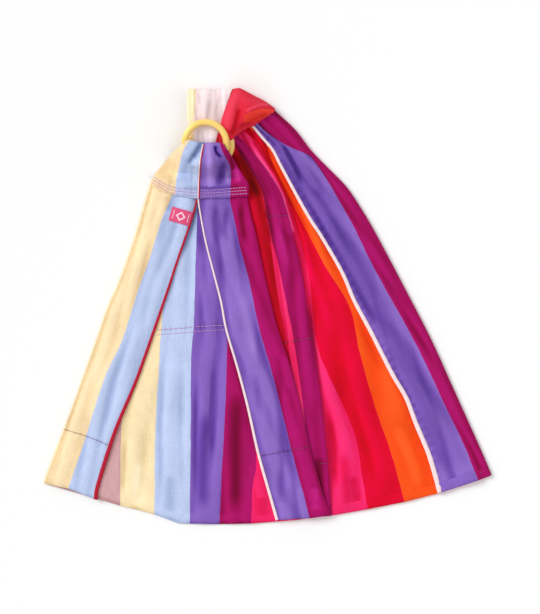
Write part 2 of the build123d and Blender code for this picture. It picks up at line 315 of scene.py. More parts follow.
@dataclass(frozen=True)
class Tape:
    """Folded binding tape or thread: one dye, ribbed along its length."""

    name: str
    dye: tuple[int, int, int]
    rib: float = 0.0012
    roughness: float = 0.75

    def material(self) -> bpy.types.Material:
        """The tape's material, on object coordinates.

        Returns:
            The material.
        """
        material, bench, shader = new_material(self.name)
        place = bench.wire("ShaderNodeTexCoord", out="Object")
        fleck = bench.wire("ShaderNodeTexNoise", inputs={"Vector": place, "Scale": 1.0 / self.rib,
                                                         "Detail": 2.0})
        broad = bench.wire("ShaderNodeTexNoise", inputs={"Vector": place, "Scale": 60.0, "Detail": 2.0})
        base = bench.blended(fleck * 0.6 + broad * 0.4, (*[c * 0.86 for c in dyed(*self.dye)], 1),
                             (*dyed(*self.dye), 1))
        bump = bench.wire("ShaderNodeBump", inputs={"Height": fleck, "Strength": 0.35, "Distance": 0.0004})
        bench.feed(shader, {"Base Color": base, "Roughness": self.roughness + (fleck - 0.5) * 0.2,
                            "Normal": bump, "Specular IOR Level": 0.3})
        return material


@dataclass(frozen=True)
class LabelWeave:
    """Damask label: a plain diamond and two bars on a pink ground, on a UV map from 0 to 1."""

    ground: tuple[int, int, int] = (226, 70, 122)
    motif: tuple[int, int, int] = (250, 218, 226)

    def material(self) -> bpy.types.Material:
        """The label's material.

        Returns:
            The material.
        """
        material, bench, shader = new_material("label_cloth")
        uv = bench.wire("ShaderNodeUVMap", {"uv_map": "Cloth"})
        parts = bench.node("ShaderNodeSeparateXYZ", inputs={"Vector": uv})
        x, y = Wire(bench, parts.outputs[0]) - 0.5, Wire(bench, parts.outputs[1]) - 0.5
        diamond = abs(x) * 1.4 + abs(y)
        ring = (diamond < 0.34) * (diamond > 0.20)
        bars = (abs(abs(x) - 0.36) < 0.016) * (abs(y) < 0.30)
        mask = (ring + bars).between(0.0, 1.0)
        rows = (y * 2 * math.pi * 34).sine()
        base = bench.blended(mask * (0.9 + rows * 0.08), (*dyed(*self.ground), 1), (*dyed(*self.motif), 1))
        bump = bench.wire("ShaderNodeBump", inputs={"Height": rows * 0.4 + mask, "Strength": 0.4,
                                                    "Distance": 0.0003})
        bench.feed(shader, {"Base Color": base, "Roughness": 0.55 + rows * 0.05, "Normal": bump})
        return material


@dataclass(frozen=True)
class RingEnamel:
    """Smooth golden yellow finish of the rings, with a darker orange tone of painted shade blended in by
    noise.
    """

    dye: tuple[int, int, int] = (255, 226, 132)
    # darker orange tone of the rings' shaded side: painted shade
    shade_tone: tuple[int, int, int] = (250, 200, 88)

    def material(self) -> bpy.types.Material:
        """The rings' material, on object coordinates.

        Returns:
            The material.
        """
        material, bench, shader = new_material("ring_enamel")
        place = bench.wire("ShaderNodeTexCoord", out="Object")
        cloud = bench.wire("ShaderNodeTexNoise", inputs={"Vector": place, "Scale": 55.0, "Detail": 3.0})
        brush = bench.wire("ShaderNodeTexNoise", inputs={"Vector": place, "Scale": 900.0, "Detail": 2.0})
        # painted shade: the darker tone laid in noise patches
        base = bench.blended(cloud, (*dyed(*self.dye), 1), (*dyed(*self.shade_tone), 1))
        bump = bench.wire("ShaderNodeBump", inputs={"Height": brush, "Strength": 0.05, "Distance": 0.0002})
        bench.feed(shader, {"Base Color": base, "Roughness": 0.22 + cloud * 0.12, "Normal": bump,
                            "Coat Weight": 0.5, "Coat Roughness": 0.12})
        return material


# --------------------------------------------------------------------------- laying cloth

class Side(Enum):
    """The side that a fold bulges to."""

    LEFT = -1
    RIGHT = 1


def smooth_path(points: Points | np.ndarray, count: int) -> np.ndarray:
    """A smooth line through the points, stepped evenly.

    Args:
        points: the points it passes through.
        count: how many steps to return.

    Returns:
        An array of count points.
    """
    pts = np.asarray(points, float)
    padded = np.vstack([2 * pts[0] - pts[1], pts, 2 * pts[-1] - pts[-2]])
    t = np.linspace(0, 1, 12, endpoint=False)[:, None]
    line = [0.5 * (2 * b + (c - a) * t + (2 * a - 5 * b + 4 * c - d) * t ** 2
                   + (3 * b - a - 3 * c + d) * t ** 3)
            for a, b, c, d in zip(padded, padded[1:], padded[2:], padded[3:])]
    line = np.vstack([*line, pts[-1:]])
    reach = np.concatenate([[0], np.cumsum(np.linalg.norm(np.diff(line, axis=0), axis=1))])
    share = np.linspace(0, reach[-1], count)
    return np.column_stack([np.interp(share, reach, line[:, k]) for k in range(line.shape[1])])


def ease(share: np.ndarray | float) -> np.ndarray | float:
    """Smooth step from 0 to 1."""
    held = np.clip(share, 0, 1)
    return held * held * (3 - 2 * held)


def away_from(xy: np.ndarray, line: np.ndarray) -> tuple[np.ndarray, np.ndarray]:
    """Distance from each point to a line, and how far along the line the nearest place is.

    Args:
        xy: points, any shape that ends in 2.
        line: the line's own points.

    Returns:
        Distances, and shares of the line from 0 to 1.
    """
    flat = xy.reshape(-1, 2)
    best = np.full(len(flat), 1e9)
    share = np.zeros(len(flat))
    for k, (a, b) in enumerate(zip(line, line[1:])):
        run = b - a
        t = np.clip(((flat - a) @ run) / max(run @ run, 1e-9), 0, 1)
        gap = np.linalg.norm(flat - a - t[:, None] * run, axis=1)
        near = gap < best
        best[near] = gap[near]
        share[near] = (k + t[near]) / (len(line) - 1)
    return best.reshape(xy.shape[:-1]), share.reshape(xy.shape[:-1])


@dataclass
class Guide:
    """A line down the cloth at one place across its width."""

    u: float
    points: Points


@dataclass
class Crease:
    """A ridge (height above 0) or a valley (below 0) along a line; in the shading lists, a line of painted
    shade (above 0) or painted highlight (below 0).
    """

    points: Points
    width: float
    height: float
    fade: float = 0.32

    def rise(self, xy: np.ndarray) -> np.ndarray:
        """Height that the crease adds.

        Args:
            xy: points, any shape that ends in 2.

        Returns:
            The height at each point, in millimetres.
        """
        gap, share = away_from(xy, smooth_path(self.points, 24))
        ends = ease(share / self.fade) * ease((1 - share) / self.fade) if self.fade else 1.0
        return self.height * np.exp(-(gap / self.width) ** 2) * ends


@dataclass
class Pucker:
    """Small waves that a row of stitches pulls into the cloth."""

    points: Points
    pitch: float = 7.0
    height: float = 0.35
    width: float = 5.0

    def rise(self, xy: np.ndarray) -> np.ndarray:
        """Height that the puckers add.

        Args:
            xy: points, any shape that ends in 2.

        Returns:
            The height at each point, in millimetres.
        """
        line = smooth_path(self.points, 40)
        length = np.linalg.norm(np.diff(line, axis=0), axis=1).sum()
        gap, share = away_from(xy, line)
        wave = np.sin(2 * np.pi * share * length / self.pitch + 1.3 * np.sin(share * 9))
        near = np.exp(-(gap / self.width) ** 2)
        return self.height * near * wave - 0.5 * np.exp(-(gap / 1.6) ** 2)


@dataclass
class Patch:
    """A stretch of cloth as a grid: rows down the cloth, columns across it, in millimetres."""

    xyz: np.ndarray
    uv: np.ndarray
    reverse: np.ndarray
    # painted shade (above 0) and painted highlight (below 0) at each point
    painted_shade: np.ndarray | None = None

    def __post_init__(self) -> None:
        """Start with no painted shade."""
        if self.painted_shade is None:
            self.painted_shade = np.zeros(self.reverse.shape)

    @property
    def xy(self) -> np.ndarray:
        """The plan places."""
        return self.xyz[..., :2]

    @staticmethod
    def spread(guides: list[Guide], rows: int, step: float, reverse: float, v0: float = 0.0) -> "Patch":
        """Cloth between guides.

        Args:
            guides: lines down the cloth, side by side.
            rows: rows down the cloth.
            step: widest column, in millimetres.
            reverse: 1 where the cloth's reverse shows, 0 where its face does.
            v0: the cloth's own length at the first row, in metres.

        Returns:
            The patch, flat.
        """
        lines = [smooth_path(g.points, rows) for g in guides]
        columns, across = [], []
        for ga, gb, a, b in zip(guides, guides[1:], lines, lines[1:]):
            count = max(2, math.ceil(np.linalg.norm(b - a, axis=1).max() / step))
            for k in range(count):
                columns.append(a + (b - a) * k / count)
                across.append(ga.u + (gb.u - ga.u) * k / count)
        columns.append(lines[-1])
        across.append(guides[-1].u)
        xy = np.stack(columns, axis=1)
        steps = np.linalg.norm(np.diff(xy, axis=0), axis=2).mean(axis=1)
        along = v0 + np.concatenate([[0], np.cumsum(steps)]) * MM
        uv = np.stack(np.broadcast_arrays(np.array(across)[None, :], along[:, None]), axis=2)
        xyz = np.concatenate([xy, np.zeros(xy.shape[:2] + (1,))], axis=2)
        return Patch(xyz, uv.copy(), np.full(xy.shape[:2], float(reverse)))

    def beside(self, *others: "Patch") -> "Patch":
        """This patch and others joined side by side, columns in order."""
        return Patch(*[np.concatenate([getattr(p, k) for p in (self, *others)], axis=1)
                       for k in ("xyz", "uv", "reverse", "painted_shade")])


@dataclass
class Drape:
    """How a patch lies over what is under it, in millimetres: loft in its middle and at its two sides,
    ripples all over, and gathers that die away from its first row.
    """

    loft: float = 1.0
    left: float = 0.0
    right: float = 0.0
    side: float = 16.0
    reach: int = 3
    ripple: float = 0.45
    ripples: int = 9
    rim: float = 12.0  # width of each edge that the ripples leave alone
    seed: int = 1
    gather: float = 0.0
    pleats: int = 7
    decay: float = 90.0
    shapes: list = field(default_factory=list)


class Ground:
    """Heights of the floor and of everything already laid on it, in millimetres."""

    def __init__(self, thickness: float, pitch: float = 2.0) -> None:
        """Start with a bare floor.

        Args:
            thickness: the cloth's thickness.
            pitch: size of a cell.
        """
        self.thickness, self.pitch = thickness, pitch
        self.low = np.array([-380.0, -380.0])
        self.count = 380
        self.cells = np.zeros((self.count, self.count))

    def _spot(self, xy: np.ndarray) -> np.ndarray:
        """Cell coordinates of points."""
        return (xy - self.low) / self.pitch

    def support(self, xy: np.ndarray, reach: int) -> np.ndarray:
        """Height of a taut cover over the ground at each point.

        Args:
            xy: points.
            reach: how many cells the cover bridges.

        Returns:
            Heights, never below the ground.
        """
        cover = np.maximum.reduce(self._shifted(self.cells, reach, 1))
        for _ in range(2):
            around = self._shifted(cover, max(1, reach // 2))
            cover = sum(around) / len(around)
        spot = self._spot(xy)
        i = np.clip(spot.astype(int), 0, self.count - 2)
        f = np.clip(spot - i, 0, 1)
        a, b = cover[i[..., 0], i[..., 1]], cover[i[..., 0] + 1, i[..., 1]]
        c, d = cover[i[..., 0], i[..., 1] + 1], cover[i[..., 0] + 1, i[..., 1] + 1]
        return (a * (1 - f[..., 0]) + b * f[..., 0]) * (1 - f[..., 1]) \
            + (c * (1 - f[..., 0]) + d * f[..., 0]) * f[..., 1]

    @staticmethod
    def _shifted(cells: np.ndarray, reach: int, slack: int = 0) -> list[np.ndarray]:
        """The cells moved to each place in a round window.

        Args:
            cells: the cells.
            reach: the window's radius, in cells.
            slack: added to the radius squared.

        Returns:
            One copy for each place.
        """
        span = range(-reach, reach + 1)
        return [np.roll(cells, (i, j), (0, 1)) for i in span for j in span
                if i * i + j * j <= reach * reach + slack]

    def raise_to(self, xyz: np.ndarray) -> None:
        """Raise the ground to these points where they're higher."""
        spot = np.round(self._spot(xyz[..., :2].reshape(-1, 2))).astype(int).clip(0, self.count - 1)
        np.maximum.at(self.cells, (spot[:, 0], spot[:, 1]), xyz[..., 2].reshape(-1))

    def add(self, patch: Patch) -> None:
        """Make a patch part of the ground.

        Args:
            patch: a laid patch.
        """
        p = patch.xyz + np.array([0, 0, self.thickness / 2])
        for a in (0.0, 0.34, 0.67):
            rows = p[:-1] * (1 - a) + p[1:] * a
            for b in (0.0, 0.34, 0.67, 1.0):
                self.raise_to(rows[:, :-1] * (1 - b) + rows[:, 1:] * b)
        self.raise_to(p)

    def height(self, xy: np.ndarray) -> np.ndarray:
        """Height of the ground's own surface near points."""
        i = self._spot(xy).astype(int)
        return np.max([self.cells[i[..., 0] + a, i[..., 1] + b] for a in (0, 1) for b in (0, 1)], axis=0)

    def lay(self, patch: Patch, drape: Drape, keep: bool = True) -> Patch:
        """Lay a patch on the ground.

        Args:
            patch: the patch, whose heights and painted shade are set.
            drape: how it lies.
            keep: make it part of the ground.

        Returns:
            The same patch.
        """
        xy = patch.xy
        widths = np.linalg.norm(np.diff(xy, axis=1), axis=2)
        from_left = np.concatenate([np.zeros((len(xy), 1)), np.cumsum(widths, axis=1)], axis=1)
        from_right = from_left[:, -1:] - from_left
        rise = drape.loft + (drape.left - drape.loft) * (1 - ease(from_left / drape.side)) \
            + (drape.right - drape.loft) * (1 - ease(from_right / drape.side))
        inner = ease(from_left / drape.rim) * ease(from_right / drape.rim)
        rng = np.random.default_rng(drape.seed)
        u, v = patch.uv[..., 0] * 1000, patch.uv[..., 1] * 1000
        for _ in range(drape.ripples):
            long, short = rng.uniform(110, 330), rng.uniform(24, 75)
            lean = rng.uniform(-0.5, 0.5)
            rise = rise + drape.ripple * rng.uniform(0.2, 0.6) * inner \
                * np.sin(2 * np.pi * (u / short + v / long + lean * v / 140) + rng.uniform(0, 6.28))
        if drape.gather:
            share = from_left / from_left[:, -1:].clip(1)
            wave = np.sin(2 * np.pi * (drape.pleats * share + 0.35 * np.sin(5 * share + drape.seed)))
            start = np.cumsum(np.r_[0, np.linalg.norm(np.diff(xy, axis=0), axis=2).mean(axis=1)])[:, None]
            rise = rise + drape.gather * np.exp(-start / drape.decay) * (0.5 + 0.5 * wave) \
                * (0.3 + 0.7 * inner)
        for shape in drape.shapes:
            rise = rise + shape.rise(xy)
        base = self.support(xy, drape.reach)
        patch.xyz[..., 2] = base + self.thickness / 2 + 0.12 + np.maximum(rise, 0)
        # painted shade in valleys and faint painted highlight on ridges, from the laid heights
        patch.painted_shade = np.clip(valley_depth(patch.xyz[..., 2]) * 0.50, -0.15, 0.85)
        if keep:
            self.add(patch)
        return patch


def valley_depth(height: np.ndarray, reach: int = 4) -> np.ndarray:
    """How far each point of a grid lies below its surroundings.

    Args:
        height: heights on a grid.
        reach: size of the surroundings, in grid steps.

    Returns:
        Depths, below 0 on a ridge.
    """
    padded = np.pad(height, reach, mode="edge")
    total = np.zeros_like(height)
    for i in range(2 * reach + 1):
        for j in range(2 * reach + 1):
            total += padded[i:i + height.shape[0], j:j + height.shape[1]]
    return total / (2 * reach + 1) ** 2 - height


def fold_arc(low: Patch, high: Patch, side: Side, steps: int = 6) -> Patch:
    """The rounded fold between two layers, one above the other.

    Args:
        low: the layer whose last column the fold leaves.
        high: the layer whose first column it joins.
        side: the side that it bulges to.
        steps: columns round the fold.

    Returns:
        The fold's own columns, from low to high.
    """
    a, b = low.xyz[:, -1], high.xyz[:, 0]
    down = np.gradient(a[:, :2], axis=0)
    out = np.column_stack([down[:, 1], -down[:, 0]])
    out /= np.linalg.norm(out, axis=1)[:, None]
    if out[:, 0].mean() * side.value < 0:
        out = -out
    radius = np.abs(b[:, 2] - a[:, 2]) / 2
    made = []
    for t in np.arange(1, steps) / steps:
        point = a + (b - a) * (0.5 - 0.5 * np.cos(np.pi * t))
        point[:, :2] += out * (radius * np.sin(np.pi * t))[:, None]
        made.append(point)
    t = np.arange(1, steps)[None, :, None] / steps
    uv = low.uv[:, -1:] + (high.uv[:, :1] - low.uv[:, -1:]) * t
    face = low.reverse[:, -1:] + (high.reverse[:, :1] - low.reverse[:, -1:]) * (t[..., 0] > 0.5)
    return Patch(np.stack(made, axis=1), uv, face)


def turned_under(patch: Patch, lowest: float, back: float = 9.0, steps: int = 6,
                 drawn: float = 45.0) -> Patch:
    """The patch with its last row rolled round a fold and back under.

    Args:
        patch: a laid patch.
        lowest: height that the cloth comes back at.
        back: how far it comes back, in millimetres.
        steps: rows round the fold.
        drawn: length of the cloth before the fold that is drawn in to make room for it.

    Returns:
        The longer patch.
    """
    xyz, uv, side = patch.xyz.copy(), patch.uv, patch.reverse
    edge, before = xyz[-1].copy(), xyz[-4]
    ahead = edge[:, :2] - before[:, :2]
    ahead /= np.linalg.norm(ahead, axis=1)[:, None]
    radius = np.maximum((edge[:, 2] - lowest) / 2, 0.4)
    gap = np.linalg.norm(xyz[:, :, :2] - edge[None, :, :2], axis=2)
    xyz[..., :2] -= ahead[None] * (radius[None] * (1 - ease(gap / drawn)))[..., None]
    edge = xyz[-1].copy()
    rows, lengths = [], []
    for k in range(1, steps + 1):
        angle = np.pi * k / steps
        row = edge.copy()
        row[:, :2] += ahead * (radius * np.sin(angle))[:, None]
        row[:, 2] -= radius * (1 - np.cos(angle))
        rows.append(row)
        lengths.append(radius * angle)
    last = rows[-1].copy()
    last[:, :2] -= ahead * back
    rows.append(last)
    lengths.append(lengths[-1] + back)
    more_uv = np.stack([np.column_stack([uv[-1, :, 0], uv[-1, :, 1] + d * MM]) for d in lengths])
    more_side = np.repeat(side[-1:], len(rows), axis=0)
    painted_shade = np.concatenate([patch.painted_shade, np.repeat(patch.painted_shade[-1:], len(rows), axis=0)])
    return Patch(np.concatenate([xyz, np.stack(rows)]), np.concatenate([uv, more_uv]),
                 np.concatenate([side, more_side]), painted_shade)


def placed(name: str, data: bpy.types.ID) -> bpy.types.Object:
    """A new object at the origin.

    Args:
        name: its name.
        data: the mesh, camera or lamp that it holds.

    Returns:
        The object, in the scene.
    """
    obj = bpy.data.objects.new(name, data)
    bpy.context.collection.objects.link(obj)
    return obj


def cloth_object(name: str, patches: list[Patch], thickness: float, material: bpy.types.Material,
                 shade: list[Crease] | None = None) -> bpy.types.Object:
    """Cloth with thickness, from one or more patches.

    Args:
        name: the piece's name.
        patches: grids in millimetres.
        thickness: in millimetres.
        material: its finish.
        shade: lines of painted shade that deepen the dye, and of painted highlight that pale it where their
            height is below 0.

    Returns:
        A mesh object at the origin.
    """
    verts, faces, uvs, sides, patch_shades = [], [], [], [], []
    base = 0
    for p in patches:
        rows, cols = p.xyz.shape[:2]
        index = base + np.arange(rows * cols).reshape(rows, cols)
        quads = np.stack([index[:-1, :-1], index[1:, :-1], index[1:, 1:], index[:-1, 1:]], axis=-1)
        faces.append(quads.reshape(-1, 4))
        verts.append(p.xyz.reshape(-1, 3))
        uvs.append(p.uv.reshape(-1, 2))
        sides.append(p.reverse.reshape(-1))
        patch_shades.append(p.painted_shade.reshape(-1))
        base += rows * cols
    verts, faces, uvs, sides, patch_shades = [np.concatenate(x) for x in (verts, faces, uvs, sides, patch_shades)]
    mesh = bpy.data.meshes.new(name)
    mesh.from_pydata((verts * MM).tolist(), [], faces.tolist())
    layer = mesh.uv_layers.new(name="Cloth")
    corner = np.zeros(len(mesh.loops), np.int32)
    mesh.loops.foreach_get("vertex_index", corner)
    layer.data.foreach_set("uv", uvs[corner].astype(np.float32).ravel())
    # painted shade and painted highlight: the strongest line at each point, added to the patches' own painted
    # shade
    painted_shade = np.zeros(len(verts))
    for crease in shade or []:
        shade_tone = crease.rise(verts[:, :2])
        painted_shade = np.where(np.abs(shade_tone) > np.abs(painted_shade), shade_tone, painted_shade)
    painted_shade = painted_shade + patch_shades
    for key, value in (("reverse", sides), ("shade_paint", painted_shade)):
        mesh.attributes.new(key, "FLOAT", "POINT").data.foreach_set("value", value.astype(np.float32))
    obj = placed(name, mesh)
    wall = obj.modifiers.new("wall", "SOLIDIFY")
    wall.thickness, wall.offset, wall.use_even_offset = thickness * MM, 0.0, False
    return finished(obj, material)


def finished(obj: bpy.types.Object, material: bpy.types.Material) -> bpy.types.Object:
    """The object with its modifiers turned into a plain smooth mesh.

    Args:
        obj: the object.
        material: its finish.

    Returns:
        The same object.
    """
    graph = bpy.context.evaluated_depsgraph_get()
    mesh = bpy.data.meshes.new_from_object(obj.evaluated_get(graph), depsgraph=graph)
    mesh.name = obj.name
    obj.modifiers.clear()
    obj.data = mesh
    mesh.materials.clear()
    mesh.materials.append(material)
    mesh.polygons.foreach_set("use_smooth", [True] * len(mesh.polygons))
    mesh.polygons.foreach_set("material_index", [0] * len(mesh.polygons))
    mesh.update()
    return obj


def piping(name: str, line: np.ndarray, widths: np.ndarray, height: float,
           material: bpy.types.Material, pucker: float = 0.25, seed: int = 3) -> bpy.types.Object:
    """A folded tape along an edge: a flat rounded tube.

    Args:
        name: the piece's name.
        line: its centre line, in millimetres, lying on the cloth.
        widths: its width at each point.
        height: its height.
        material: its finish.
        pucker: how uneven it is, in millimetres.
        seed: of the unevenness.

    Returns:
        A closed mesh object at the origin.
    """
    around = 10
    along = np.gradient(line, axis=0)
    along[:, 2] = 0
    along /= np.linalg.norm(along, axis=1)[:, None]
    side = np.column_stack([along[:, 1], -along[:, 0], np.zeros(len(line))])
    rng = np.random.default_rng(seed)
    run = np.concatenate([[0], np.cumsum(np.linalg.norm(np.diff(line, axis=0), axis=1))])
    wobble = sum(np.sin(2 * np.pi * run / w + rng.uniform(0, 6)) for w in (9.0, 14.0, 23.0)) / 3 * pucker
    rings = []
    for k in range(around):
        angle = 2 * np.pi * k / around
        half = widths / 2 + wobble * 0.4
        x = np.sign(np.cos(angle)) * abs(np.cos(angle)) ** 0.7
        z = np.sign(np.sin(angle)) * abs(np.sin(angle)) ** 0.8
        rings.append(line + side * (half * x)[:, None]
                     + np.column_stack([line[:, 0] * 0, line[:, 0] * 0, (height / 2) * z + wobble * (z > 0)]))
    verts = np.stack(rings, axis=1).reshape(-1, 3)
    n = len(line)
    faces = [(r * around + k, (r + 1) * around + k, (r + 1) * around + (k + 1) % around,
              r * around + (k + 1) % around) for r in range(n - 1) for k in range(around)]
    faces += [tuple(range(around)), tuple(reversed(range((n - 1) * around, n * around)))]
    mesh = bpy.data.meshes.new(name)
    mesh.from_pydata((verts * MM).tolist(), [], [tuple(reversed(f)) for f in faces])
    return finished(placed(name, mesh), material)


# --------------------------------------------------------------------------- stitches

@dataclass
class Stitching:
    """Rows of thread stitches that follow the cloth's surface."""

    pitch: float = 3.9
    length: float = 3.4
    width: float = 1.15
    seed: int = 11
    tree: bpy.types.NodeTree | None = None

    def make_tree(self) -> None:
        """Build the node tree that turns a path into stitches."""
        tree = bpy.data.node_groups.new("stitch_rows", "GeometryNodeTree")
        face = tree.interface
        face.new_socket("Geometry", in_out="OUTPUT", socket_type="NodeSocketGeometry")
        face.new_socket("Geometry", in_out="INPUT", socket_type="NodeSocketGeometry")
        for name, kind in (("Pitch", "Float"), ("Stitch Length", "Float"), ("Thread Width", "Float"),
                           ("Seed", "Int"), ("Thread", "Material")):
            face.new_socket(name, in_out="INPUT", socket_type=f"NodeSocket{kind}")
        bench = Bench(tree)
        given = bench.node("NodeGroupInput").outputs
        path = bench.node("GeometryNodeMeshToCurve", inputs={"Mesh": given["Geometry"]})
        even = bench.node("GeometryNodeResampleCurve", {"mode": "LENGTH"},
                          {"Curve": path.outputs[0], "Length": given["Pitch"]})
        bead = bench.node("GeometryNodeMeshIcoSphere", inputs={"Radius": 1.0, "Subdivisions": 2})
        tangent = bench.node("GeometryNodeInputTangent")
        aim = bench.node("FunctionNodeAlignRotationToVector", {"axis": "X"}, {"Vector": tangent.outputs[0]})
        vary = bench.node("FunctionNodeRandomValue", {"data_type": "FLOAT"},
                          {2: 0.88, 3: 1.10, "Seed": given["Seed"]})
        long = Wire(bench, vary.outputs[1]) * Wire(bench, given["Stitch Length"]) * 0.5
        wide = Wire(bench, given["Thread Width"])
        scale = bench.node("ShaderNodeCombineXYZ", inputs={0: long, 1: wide * 0.5, 2: wide * 0.42})
        set_out = bench.node("GeometryNodeInstanceOnPoints",
                             inputs={"Points": even.outputs[0], "Instance": bead.outputs[0],
                                     "Rotation": aim.outputs[0], "Scale": scale.outputs[0]})
        real = bench.node("GeometryNodeRealizeInstances", inputs={0: set_out.outputs[0]})
        dress = bench.node("GeometryNodeSetMaterial",
                           inputs={"Geometry": real.outputs[0], "Material": given["Thread"]})
        bench.node("NodeGroupOutput", inputs={0: dress.outputs[0]})
        self.tree = tree

    def rows(self, name: str, lines: list[np.ndarray], material: bpy.types.Material) -> bpy.types.Object:
        """Stitches along lines.

        Args:
            name: the piece's name.
            lines: paths on the cloth, in millimetres.
            material: the thread's finish.

        Returns:
            A mesh object at the origin.
        """
        if self.tree is None:
            self.make_tree()
        verts, edges = [], []
        for line in lines:
            edges += [(len(verts) + k, len(verts) + k + 1) for k in range(len(line) - 1)]
            verts += (line * MM).tolist()
        mesh = bpy.data.meshes.new(name)
        mesh.from_pydata(verts, edges, [])
        obj = placed(name, mesh)
        sew = obj.modifiers.new("sew", "NODES")
        sew.node_group = self.tree
        given = {"Pitch": self.pitch * MM, "Stitch Length": self.length * MM, "Thread Width": self.width * MM,
                 "Seed": self.seed, "Thread": material}
        for item in self.tree.interface.items_tree:
            if item.in_out == "INPUT" and item.name in given:
                sew[item.identifier] = given[item.name]
        return finished(obj, material)


# --------------------------------------------------------------------------- the sling

@dataclass
class Outlines:
    """The lines that the cloth's layers share, from the neck downwards, in millimetres."""

    left_fold: Points = field(default_factory=lambda: [
        (-171, 190), (-178, 168), (-198, 101), (-221, 36), (-238, -2), (-255, -50), (-303, -183),
        (-334, -265)])
    red_edge: Points = field(default_factory=lambda: [
        (-102, 199), (-104, 169), (-109, 144), (-118, 116), (-137, 61), (-146, 33), (-172, -43),
        (-197, -113), (-229, -190), (-253, -266), (-257, -289)])
    pink_edge: Points = field(default_factory=lambda: [
        (-102, 196), (-104, 163), (-101, 139), (-93, 97), (-82, 54), (-70, 7), (-62, -35), (-45, -93),
        (-30, -150), (-15, -217), (0, -271), (14, -320)])
    right_fold: Points = field(default_factory=lambda: [
        (-31, 186), (-32, 163), (-26, 133), (-20, 112), (-10, 64), (1, 16), (14, -35), (33, -92), (49, -154),
        (61, -211), (75, -261), (92, -313)])
    return_edge: Points = field(default_factory=lambda: [
        (-56, 262), (-34, 244), (-16, 220), (-2, 202), (17, 173), (25, 150), (30, 134), (49, 55), (58, 0),
        (67, -50), (80, -150), (89, -235), (94, -314)])
    tail_trim: Points = field(default_factory=lambda: [
        (-34, 284), (-23, 272), (-8, 254), (8, 235), (20, 212), (44, 167), (65, 130), (82, 104), (112, 52),
        (131, 8), (155, -37), (187, -100), (208, -136), (223, -175), (241, -218), (251, -250), (259, -279)])
    tail_fold: Points = field(default_factory=lambda: [
        (0, 301), (10, 292), (40, 265), (64, 234), (89, 208), (118, 178), (142, 142), (163, 106), (199, 38),
        (241, -43), (278, -124), (317, -211), (335, -253)])


@dataclass
class Workshop:
    """What every maker of a piece shares: the ground, the finishes and the sewing."""

    thickness: float = 0.9
    ground: Ground = field(init=False)
    lines: Outlines = field(default_factory=Outlines)
    stitching: Stitching = field(default_factory=Stitching)
    seams: Stitching = field(default_factory=lambda: Stitching(pitch=2.6, length=2.7, width=0.75, seed=23))
    finishes: dict = field(init=False)

    def __post_init__(self) -> None:
        """Clear the ground and mix the finishes."""
        self.ground = Ground(self.thickness)
        self.finishes = {
            "striped_cloth": StripedCloth().material(),
            "red_binding": Tape("red_binding", (186, 8, 46)).material(),
            "pink_binding": Tape("pink_binding", (250, 228, 230)).material(),
            "thread": Tape("thread", (212, 158, 204), rib=0.0006, roughness=0.6).material(),
            "seam_thread": Tape("seam_thread", (128, 74, 112), rib=0.0006, roughness=0.7).material(),
            "label_thread": Tape("label_thread", (232, 120, 150), rib=0.0006, roughness=0.6).material(),
            "label_cloth": LabelWeave().material(),
            "ring_enamel": RingEnamel().material()}

    def on_cloth(self, points: Points, count: int, lift: float) -> np.ndarray:
        """A smooth line laid on the ground as it is now.

        Args:
            points: the line's plan points.
            count: steps along it.
            lift: height above the cloth.

        Returns:
            Points with heights.
        """
        xy = smooth_path(points, count)
        z = self.ground.height(xy)
        z = np.convolve(np.pad(z, 3, mode="edge"), np.ones(7) / 7, mode="valid")
        return np.column_stack([xy, z + lift])

    def settle(self, obj: bpy.types.Object, slot: str, *nodes: str) -> bpy.types.Object:
        """Give a finished piece its body and hide the CAD nodes that it stands for.

        Args:
            obj: the piece.
            slot: not used.
            nodes: the CAD nodes it stands for.

        Returns:
            The same piece.
        """
        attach(obj, "sling")
        if nodes:
            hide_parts(*nodes)
        LOG.info("%s: %d faces", obj.name, len(obj.data.polygons))
        return obj

    def cloth(self, name: str, patches: list[Patch], *nodes: str, shade: list[Crease] | None = None,
              settle: bool = True) -> bpy.types.Object:
        """A finished piece of the striped cloth.

        Args:
            name: the piece's name.
            patches: its grids.
            nodes: the CAD nodes it stands for.
            shade: lines of painted shade that deepen the dye and of painted highlight that pale it.
            settle: whether it rides on the sling.

        Returns:
            A mesh object at the origin.
        """
        obj = cloth_object(name, patches, self.thickness, self.finishes["striped_cloth"], shade)
        return self.settle(obj, "striped_cloth", *nodes) if settle else obj


